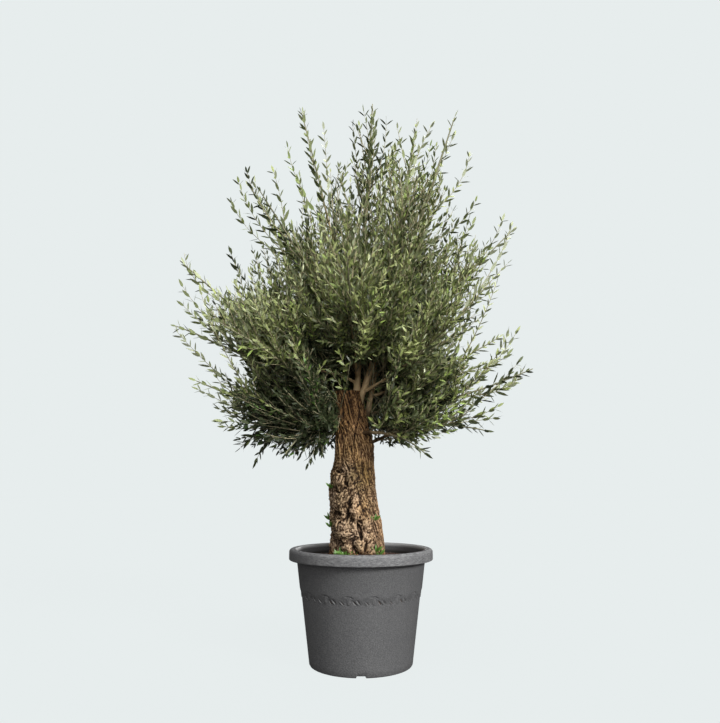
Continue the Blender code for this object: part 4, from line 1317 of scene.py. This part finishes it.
def fanned(points):
    """Directions away from the trunk's top, of chance lengths that are shorter close to it."""
    away = np.linalg.norm(points - FAN_FROM, axis=-1)
    share = chance.uniform(*FAN_SHARES, len(points)) * smooth(*FAN_OPENS, away)
    return share[:, None] * unit(points - FAN_FROM)


def places_along(reach, spacing, first):
    """Places every so often along twigs: the twig's number, a count and the share along it."""
    counts = np.maximum(1, ((reach - first) / spacing + 1).astype(int))
    owner, index = numbered(counts)
    return owner, index, np.minimum((first + spacing * index) / reach[owner], 1.0)


def picked(growth, chosen):
    """The chosen ones of some growth, which is a dictionary of arrays."""
    return {key: values[chosen] for key, values in growth.items()}


def grown(root, way, reach, bow, limb, tries, margin):
    """Growth from roots in some directions, at the longest of some shares of its reach whose
    tip and middle lie inside the body and in the open; what fits nowhere is left out."""
    length = np.zeros(len(root))
    for share in tries:
        tip = root + way * (reach * share)[:, None]
        fits = in_body(tip, margin) & in_the_open(tip) & in_the_open((tip + root) / 2)
        length = np.where((length == 0) & fits, reach * share, length)
    kept = length > 0
    tip = root + way * length[:, None]
    growth = {"root": root, "tip": tip, "reach": length, "limb": limb}
    growth = picked(growth, kept)
    growth["middle"] = bowed(growth["root"], growth["tip"], np.broadcast_to(bow, len(root))[kept])
    return growth


def side_growth(carriers, spacing, first, angle, length, varies, step, tries):
    """Growth that leaves its carriers at places along them, each turned on from the last."""
    owner, index, share = places_along(carriers["reach"], spacing, first)
    near = curve(carriers["root"][owner], carriers["middle"][owner], carriers["tip"][owner],
                 np.stack([share, share + 0.02], -1))
    along = unit(near[:, 1] - near[:, 0])
    turn = chance.uniform(0, math.tau, len(carriers["reach"]))[owner] + step * index
    way = leaning(along, angle * chance.uniform(0.7, 1.4, len(owner)), turn)
    limb = carriers["limb"][owner]
    way = way + (limbs["lift"][limb] + SHOOT_LIFT)[:, None] / 2 * UP
    way = unit(way + fanned(near[:, 0]) / 2)
    reach = length * chance.uniform(*varies, len(owner)) * (1 - 0.35 * share)
    return grown(near[:, 0], way, reach, SHOOT_BOW, limb, tries, 0.0)


stem_shares = limbs["bare"][:, None] + (1 - limbs["bare"][:, None]) * np.linspace(0, 1, 7)
stem_paths = along_limbs(every_limb, stem_shares)

chance = np.random.default_rng(SEED)
inner = limbs["bare"] * SHOOT_INNER
fuller = np.array([FULLER.get(name, 1.0) for name in limb_names])
shoot_counts = ((1 - inner) * limb_length / SHOOT_SPACING * fuller).astype(int)
shoot_limb, shoot_index = numbered(shoot_counts)
shoot_share = shoot_index / (shoot_counts[shoot_limb] - 1)
shoot_share = inner[shoot_limb] + (SHOOT_LAST - inner[shoot_limb]) * shoot_share
bare = limbs["bare"][shoot_limb]
shoot_outward = np.clip((shoot_share - bare) / (1 - bare), 0, 1)
near = along_limbs(shoot_limb, np.stack([shoot_share, shoot_share + 0.01], -1))
stem_way = unit(near[:, 1] - near[:, 0])
shoot_turn = chance.uniform(0, math.tau, limb_count)[shoot_limb] + GOLDEN_ANGLE * shoot_index
shoot_way = leaning(stem_way, SHOOT_ANGLE * chance.uniform(0.65, 1.15, len(shoot_limb)), shoot_turn)
shoot_way = shoot_way + (limbs["lift"][shoot_limb] + SHOOT_LIFT)[:, None] * UP
shoot_way = shoot_way + fanned(near[:, 0])
shoot_way = unit(shoot_way + chance.normal(0, 0.08, shoot_way.shape))
shoot_reach = SHOOT_LENGTH * (1 - SHOOT_SHORTENS * shoot_outward)
shoot_reach = shoot_reach + SPRAY_LENGTH * (1 - SPRAY_SHRINKS * shoot_outward)
shoot_reach = shoot_reach * chance.uniform(*SHOOT_VARIES, len(shoot_limb))
shoots = grown(near[:, 0], shoot_way, shoot_reach, SHOOT_BOW, shoot_limb, SHOOT_TRIES,
               chance.uniform(*SHOOT_STANDS_OUT, len(shoot_limb)))
twigs = side_growth(shoots, TWIG_SPACING, 0.04, TWIG_ANGLE, SPRAY_LENGTH, TWIG_VARIES, THIRD, TWIG_TRIES)
twigs = picked(twigs, chance.random(len(twigs["reach"])) < 0.1 + 0.9 * fullness(twigs["tip"]))
spurs = side_growth(twigs, SPUR_SPACING, 0.03, SPUR_ANGLE, SPUR_LENGTH, TWIG_VARIES, THIRD, (1.0,))
spurs = picked(spurs, chance.random(len(spurs["reach"])) < fullness(spurs["tip"]) ** 2)

# Short shoots that fill the shade round the bare feet of the boughs
inner_limb = np.repeat(every_limb, INNER_SHOOTS)
inner_share = chance.uniform(0.10, 1.0, len(inner_limb)) * limbs["bare"][inner_limb] * 1.5
inner_root = along_limbs(inner_limb, inner_share[:, None])[:, 0]
inner_way = chance.normal(0, 1, inner_root.shape) * (1.0, 1.0, 0.7)
inner_reach = chance.uniform(*INNER_LENGTH, len(inner_limb))
inner_shoots = grown(inner_root, unit(inner_way), inner_reach, SHOOT_BOW, inner_limb, TWIG_TRIES, -0.01)
inner_shoots = picked(inner_shoots, inner_shoots["tip"][:, 2] < INNER_BELOW)
inner_twigs = side_growth(inner_shoots, TWIG_SPACING, 0.03, SPUR_ANGLE, SPUR_LENGTH, TWIG_VARIES,
                          THIRD, (1.0,))
twigs, spurs = ({key: np.concatenate([values, more[key]]) for key, values in growth.items()}
                for growth, more in ((twigs, inner_shoots), (spurs, inner_twigs)))

leader_table = np.array([from_photo(*tip) + from_photo(*middle) for tip, middle in LEADERS])
leader_table[:, 0] = np.clip(leader_table[:, 0], *LEADER_EDGES)
leader_table[:, 1] = np.minimum(leader_table[:, 1], LEADER_TOP)
leader_count = len(leader_table)
depth = chance.uniform(*LEADER_DEPTHS, leader_count) * LEADER_SPREAD
share = (depth - CAMERA_PLACE[1]) / -CAMERA_PLACE[1]
leader_tip, leader_middle = (
    np.stack([CAMERA_PLACE[0] + (leader_table[:, column] - CAMERA_PLACE[0]) * share, depth,
              CAMERA_PLACE[2] + (leader_table[:, column + 1] - CAMERA_PLACE[2]) * share], -1)
    for column in (0, 2))
leader_tip = np.clip(leader_tip, np.array(cad_low) + LEADER_MARGIN, np.array(cad_high) - LEADER_MARGIN)
stem_points = along_limbs(every_limb, np.tile(
    np.linspace(0, LEADER_LAST, STEM_POINTS), (limb_count, 1))).reshape(-1, 3)
aim = leader_middle + LEADER_AIMS * (leader_middle - leader_tip)
aim[:, 0] += (CROWN_X - aim[:, 0]) * LEADER_TURNS_IN
nearest = np.linalg.norm(aim[:, None] - stem_points, axis=-1).argmin(1)
leader_root = stem_points[nearest]
leaders = {
    "root": leader_root, "middle": leader_middle, "tip": leader_tip,
    "reach": np.linalg.norm(leader_tip - leader_middle, axis=-1)
    + np.linalg.norm(leader_middle - leader_root, axis=-1),
    "limb": nearest // STEM_POINTS,
}


def twig_links(shade, place):
    """Pale grey-green twig skin with a little mottling."""
    mottle = shade.noise(place, 60.0, 2.0)
    return {"Base Color": mottle.between(0.3, 0.7).mix(*map(linear, TWIG_COLOURS))}


def new_twigs(name, growth, radius, sides, rings):
    """One piece of tapering tubes along all the curves of some growth."""
    count = len(growth["reach"])
    shares = np.linspace(0, 1, rings)
    paths = curve(growth["root"], growth["middle"], growth["tip"], np.tile(shares, (count, 1)))
    radii = np.tile(radius + (TWIG_TIP_RADIUS - radius) * shares, (count, 1))
    piece = new_piece(name, tubes(paths, radii, sides), tube_faces(count, rings, sides),
                      [twig_skin])
    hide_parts(*foliage_nodes)


twig_skin = new_finish("twig_skin", {"Roughness": 0.7}, twig_links)
foliage_nodes = [f"foliage_{name}" for name in limb_names]
new_twigs("leading_shoots", leaders, LEADER_RADIUS, 5, 12)
new_twigs("shoots", shoots, SHOOT_RADIUS, 5, 7)
new_twigs("twigs", twigs, TWIG_RADIUS, 3, 4)
new_twigs("spurs", spurs, TWIG_RADIUS, 3, 2)

# Leaves
# Narrow leathery leaves in opposite pairs, each pair square to the last, grey-green above
# and silvery beneath. Each is a thin closed lens, flat beneath and rounded above.
LEAF_LENGTH = 0.045
LEAF_WIDTH = 0.0132
LEAF_SWELL = 0.0012
LEAF_CURL = 0.10
LEAF_ANGLE = math.radians(34)
LEAF_STATIONS = (0.28, 0.66)
LEAF_SHARES = (0.92, 0.86)
LEAF_CREST = 0.46
PAIR_SPACING = 0.030
PAIR_FIRST = 0.016
LEADER_PAIR_SPACING = 0.036
MOST_LEAVES = 18500
# The share of leaves that have dropped, from none at one height to the most at another
DROPS_FROM, DROPS_TO, DROPS_BY = 1.50, 2.05, 0.38
SMALLER_IN_FRONT = 0.20
# Colours above and beneath: five tones, lit and shaded copies of one leaf that paint light and
# shade onto the sprays from the shaded inside outwards, then those of young sprays and of fresh
# ones low on the left and on the trunk
LEAF_COLOURS = (
    ("dark", (48, 57, 32), (76, 84, 58)),
    ("shaded", (82, 92, 54), (112, 120, 88)),
    ("deep", (122, 133, 74), (150, 159, 114)),
    ("olive", (158, 167, 108), (184, 191, 154)),
    ("silvery", (186, 193, 150), (200, 206, 176)),
    ("young", (152, 174, 92), (176, 191, 130)),
    ("fresh", (90, 126, 54), (108, 136, 78)),
)
LIGHTEST, YOUNG, FRESH = 4, 5, 6
# The tone, which paints light and shade: where it starts, what openness, height and the right
# side add as painted light, what the low left and the left foot take away as painted shade, what
# the outer left adds as painted light, and how sprays vary at random
TONE_START, TONE_OPEN, TONE_HIGH, TONE_RIGHT = -0.4, 1.5, 0.8, 0.2
TONE_LOW_LEFT, TONE_FOOT_LEFT, TONE_OUTER_LEFT, TONE_VARIES = 2.2, 1.4, 0.7, 0.9
YOUNG_SHARE, YOUNG_MORE_HIGH, FRESH_SHARE = 0.03, 0.06, 0.05
# Those places, as bands from none to full across and by height
LOW_LEFT_INNER, LOW_LEFT_OUTER, LOW_LEFT_BELOW = (-0.02, -0.16), (-0.58, -0.42), (1.22, 0.98)
FOOT_LEFT_ACROSS, FOOT_LEFT_BELOW = (-0.05, -0.16), (1.00, 0.90)
OUTER_LEFT_ACROSS, OUTER_LEFT_BELOW = (-0.16, -0.42), (1.75, 1.50)
# Patches of painted light and painted shade in the view from the front: place across, height,
# reach and tone
LIT_AND_SHADED_PLACES = (
    (-0.07, 1.66, 0.16, 0.7),
    (-0.25, 1.23, 0.15, -1.0),
    (0.26, 1.32, 0.14, 0.7),
    (0.33, 0.98, 0.14, -0.7),
)
# Sprouts on the foot of the trunk: place across, height, leaves and size
SPROUTS = (
    (-0.082, 0.412, 9, 1.05),
    (-0.064, 0.416, 10, 1.15),
    (-0.048, 0.410, 8, 1.00),
    (0.060, 0.440, 7, 0.80),
    (0.072, 0.425, 6, 0.75),
    (0.057, 0.560, 7, 0.70),
    (-0.122, 0.690, 8, 0.75),
    (-0.138, 0.560, 7, 0.80),
    (-0.140, 0.525, 7, 0.80),
)
SPROUT_FACE = (0.4, -1.0, 0.5)


def leaves_on(growth, spacing, first):
    """Leaf pairs along some growth, and a leaf at each tip: roots, directions, the way each
    face looks, sizes, and the number of the twig."""
    count = len(growth["reach"])
    owner, index, share = places_along(growth["reach"], spacing, first)
    ends = (growth["root"][owner], growth["middle"][owner], growth["tip"][owner])
    near = curve(*ends, np.stack([share, share + 0.02], -1))
    along = unit(near[:, 1] - near[:, 0])
    first_turn = chance.uniform(0, math.tau, count)[owner]
    parts = []
    for side in (0.0, math.pi):
        turn = first_turn + side + index * math.pi / 2 + chance.normal(0, 0.25, len(owner))
        angle = LEAF_ANGLE * chance.uniform(0.5, 1.5, len(owner))
        way = unit(leaning(along, angle, turn) + chance.normal(0, 0.07, along.shape))
        size = chance.uniform(0.75, 1.15, len(owner)) * (1 - 0.35 * share**2)
        parts.append((near[:, 0], way, along, size, owner))
    tip_way = unit(growth["tip"] - growth["middle"])
    tip_face = leaning(tip_way, np.full(count, math.pi / 2), chance.uniform(0, math.tau, count))
    tip_size = chance.uniform(0.55, 0.85, count)
    parts.append((growth["tip"], tip_way, tip_face, tip_size, np.arange(count)))
    return [np.concatenate(values) for values in zip(*parts)]


stems = {
    "root": stem_paths[:, 3], "middle": stem_paths[:, 5], "tip": stem_paths[:, -1],
    "reach": np.linalg.norm(stem_paths[:, -1] - stem_paths[:, 3], axis=-1),
    "limb": np.arange(limb_count),
}
groups, twig_total = [], 0
for growth, spacing, first, larger in (
    (leaders, LEADER_PAIR_SPACING, 0.05, 1.28),
    (stems, PAIR_SPACING, 0.02, 1.25),
    (shoots, PAIR_SPACING, 0.03, 1.12),
    (twigs, PAIR_SPACING, PAIR_FIRST, 1.0),
    (spurs, PAIR_SPACING, PAIR_FIRST, 0.95),
):
    made = leaves_on(growth, spacing, first)
    made[3] = made[3] * larger
    made[-1] = made[-1] + twig_total
    twig_total += len(growth["reach"])
    groups.append(made)
leaf_root, leaf_way, leaf_face, leaf_size, leaf_spray = (
    np.concatenate(values) for values in zip(*groups))
leaf_size = leaf_size * (1 - SMALLER_IN_FRONT * smooth(0.0, -0.5, leaf_root[:, 1]))
leaf_end = leaf_root + leaf_way * (leaf_size * LEAF_LENGTH)[:, None]
kept = in_the_open(leaf_end) & in_the_open(leaf_root)
kept &= (leaf_end > np.array(cad_low) + 0.002).all(-1) & (leaf_end < np.array(cad_high) - 0.002).all(-1)
dropped = chance.random(len(leaf_root)) < DROPS_BY * smooth(DROPS_FROM, DROPS_TO, leaf_root[:, 2])
kept &= ~dropped | (leaf_spray < leader_count)
leaf_root, leaf_way, leaf_face, leaf_size, leaf_spray = (
    values[kept] for values in (leaf_root, leaf_way, leaf_face, leaf_size, leaf_spray))

away, reach = reach_towards(leaf_root)
openness = np.clip(away / np.maximum(reach, 0.05), 0, 1) ** 1.5
height_share = np.clip((leaf_root[:, 2] - 0.8) / 1.7, 0, 1)
spray_mood = chance.normal(0, TONE_VARIES, twig_total)[leaf_spray]
leaf_x, leaf_z = leaf_root[:, 0], leaf_root[:, 2]
low_left = smooth(*LOW_LEFT_INNER, leaf_x) * smooth(*LOW_LEFT_OUTER, leaf_x)
low_left = low_left * smooth(*LOW_LEFT_BELOW, leaf_z)
outer_left = smooth(*OUTER_LEFT_ACROSS, leaf_x) * smooth(*OUTER_LEFT_BELOW, leaf_z)
foot_left = smooth(*FOOT_LEFT_ACROSS, leaf_x) * smooth(*FOOT_LEFT_BELOW, leaf_z)
painted_light_tone = TONE_START + TONE_OPEN * openness + TONE_HIGH * height_share
painted_light_tone = painted_light_tone + TONE_RIGHT * np.clip(leaf_x / 0.5, -1, 1)
painted_light_tone = painted_light_tone - TONE_LOW_LEFT * low_left - TONE_FOOT_LEFT * foot_left
painted_light_tone = painted_light_tone + TONE_OUTER_LEFT * outer_left + spray_mood
seen_x, seen_z = from_front(leaf_root)
for x, z, wide, change in LIT_AND_SHADED_PLACES:
    painted_light_tone = painted_light_tone + change * np.exp(-((seen_x - x) ** 2 + (seen_z - z) ** 2) / wide**2)
leaf_colour = np.clip(np.round(painted_light_tone) + 1, 0, LIGHTEST).astype(int)
young_share = (YOUNG_SHARE + YOUNG_MORE_HIGH * height_share) * (1 - low_left)
leaf_colour = np.where(chance.random(twig_total)[leaf_spray] < young_share, YOUNG, leaf_colour)
fresh = chance.random(twig_total)[leaf_spray] < FRESH_SHARE * low_left
leaf_colour = np.where(fresh, FRESH, leaf_colour)

front_grid = trunk_grid[:, TRUNK_COLUMNS // 2:].reshape(-1, 3)
for x, z, count, size in SPROUTS:
    foot = front_grid[np.hypot(front_grid[:, 0] - x, front_grid[:, 2] - z).argmin()]
    turn = GOLDEN_ANGLE * np.arange(count) + x * 50
    way = np.stack([np.cos(turn), np.sin(turn) * 0.6 - 0.6, np.full(count, 0.9)], -1)
    leaf_root = np.concatenate([leaf_root, np.tile(foot, (count, 1)) + unit(way) * 0.003])
    leaf_way = np.concatenate([leaf_way, unit(way)])
    leaf_face = np.concatenate([leaf_face, np.tile(SPROUT_FACE, (count, 1))])
    leaf_size = np.concatenate([leaf_size, size * chance.uniform(0.7, 1.1, count)])
    leaf_colour = np.concatenate([leaf_colour, np.full(count, FRESH)])

half_width = LEAF_WIDTH / 2 / LEAF_LENGTH
lens = [(0.0, 0.0, 0.0)]
for station, share in zip(LEAF_STATIONS, LEAF_SHARES):
    sunk = -LEAF_CURL * station**2
    lens += [(-half_width * share, sunk, station), (half_width * share, sunk, station)]
crest_rise = LEAF_SWELL / LEAF_LENGTH - LEAF_CURL * LEAF_CREST**2
lens = np.array(lens + [(0.0, crest_rise, LEAF_CREST), (0.0, -LEAF_CURL, 1.0)])
lens_triangles = np.array([
    (0, 1, 5), (1, 3, 5), (3, 6, 5), (5, 6, 4), (5, 4, 2), (0, 5, 2), (0, 2, 1), (3, 4, 6)])
lens_quads = np.array([(1, 2, 4, 3)])
triangle_slots = np.array([0, 0, 0, 0, 0, 0, 1, 1])
quad_slots = np.array([1])


def new_leaves(name, chosen, finishes):
    """Leaves as copies of one lens: root + size * (x * side + y * face + z * direction)."""
    way = leaf_way[chosen]
    face = leaf_face[chosen]
    face = unit(face - way * (face * way).sum(-1, keepdims=True))
    side = np.cross(face, way)
    axes = np.stack([side, face, way], 1) * (leaf_size[chosen] * LEAF_LENGTH)[:, None, None]
    points = leaf_root[chosen][:, None, :] + np.einsum("kc,nci->nki", lens, axes)
    first = (np.arange(len(way)) * len(lens))[:, None, None]
    triangles = (first + lens_triangles).reshape(-1, 3)
    quads = (first + lens_quads).reshape(-1, 4)
    slots = np.concatenate([np.tile(triangle_slots, len(way)), np.tile(quad_slots, len(way))])
    piece = new_piece(name, points, [triangles, quads], finishes, slots=slots)
    piece.data.set_sharp_from_angle(angle=math.radians(60))
    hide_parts(*foliage_nodes)


for number, (shade_name, above, beneath) in enumerate(LEAF_COLOURS):
    finishes = [
        new_finish(f"leaf_{shade_name}_above", {
            "Base Color": opaque(above), "Roughness": 0.42, "Specular IOR Level": 0.4}),
        new_finish(f"leaf_{shade_name}_beneath", {
            "Base Color": opaque(beneath), "Roughness": 0.75, "Specular IOR Level": 0.25}),
    ]
    chosen = np.flatnonzero(leaf_colour == number)
    for part, some in enumerate(np.array_split(chosen, -(-len(chosen) // MOST_LEAVES))):
        new_leaves(f"leaves_{shade_name}_{part + 1}", some, finishes)
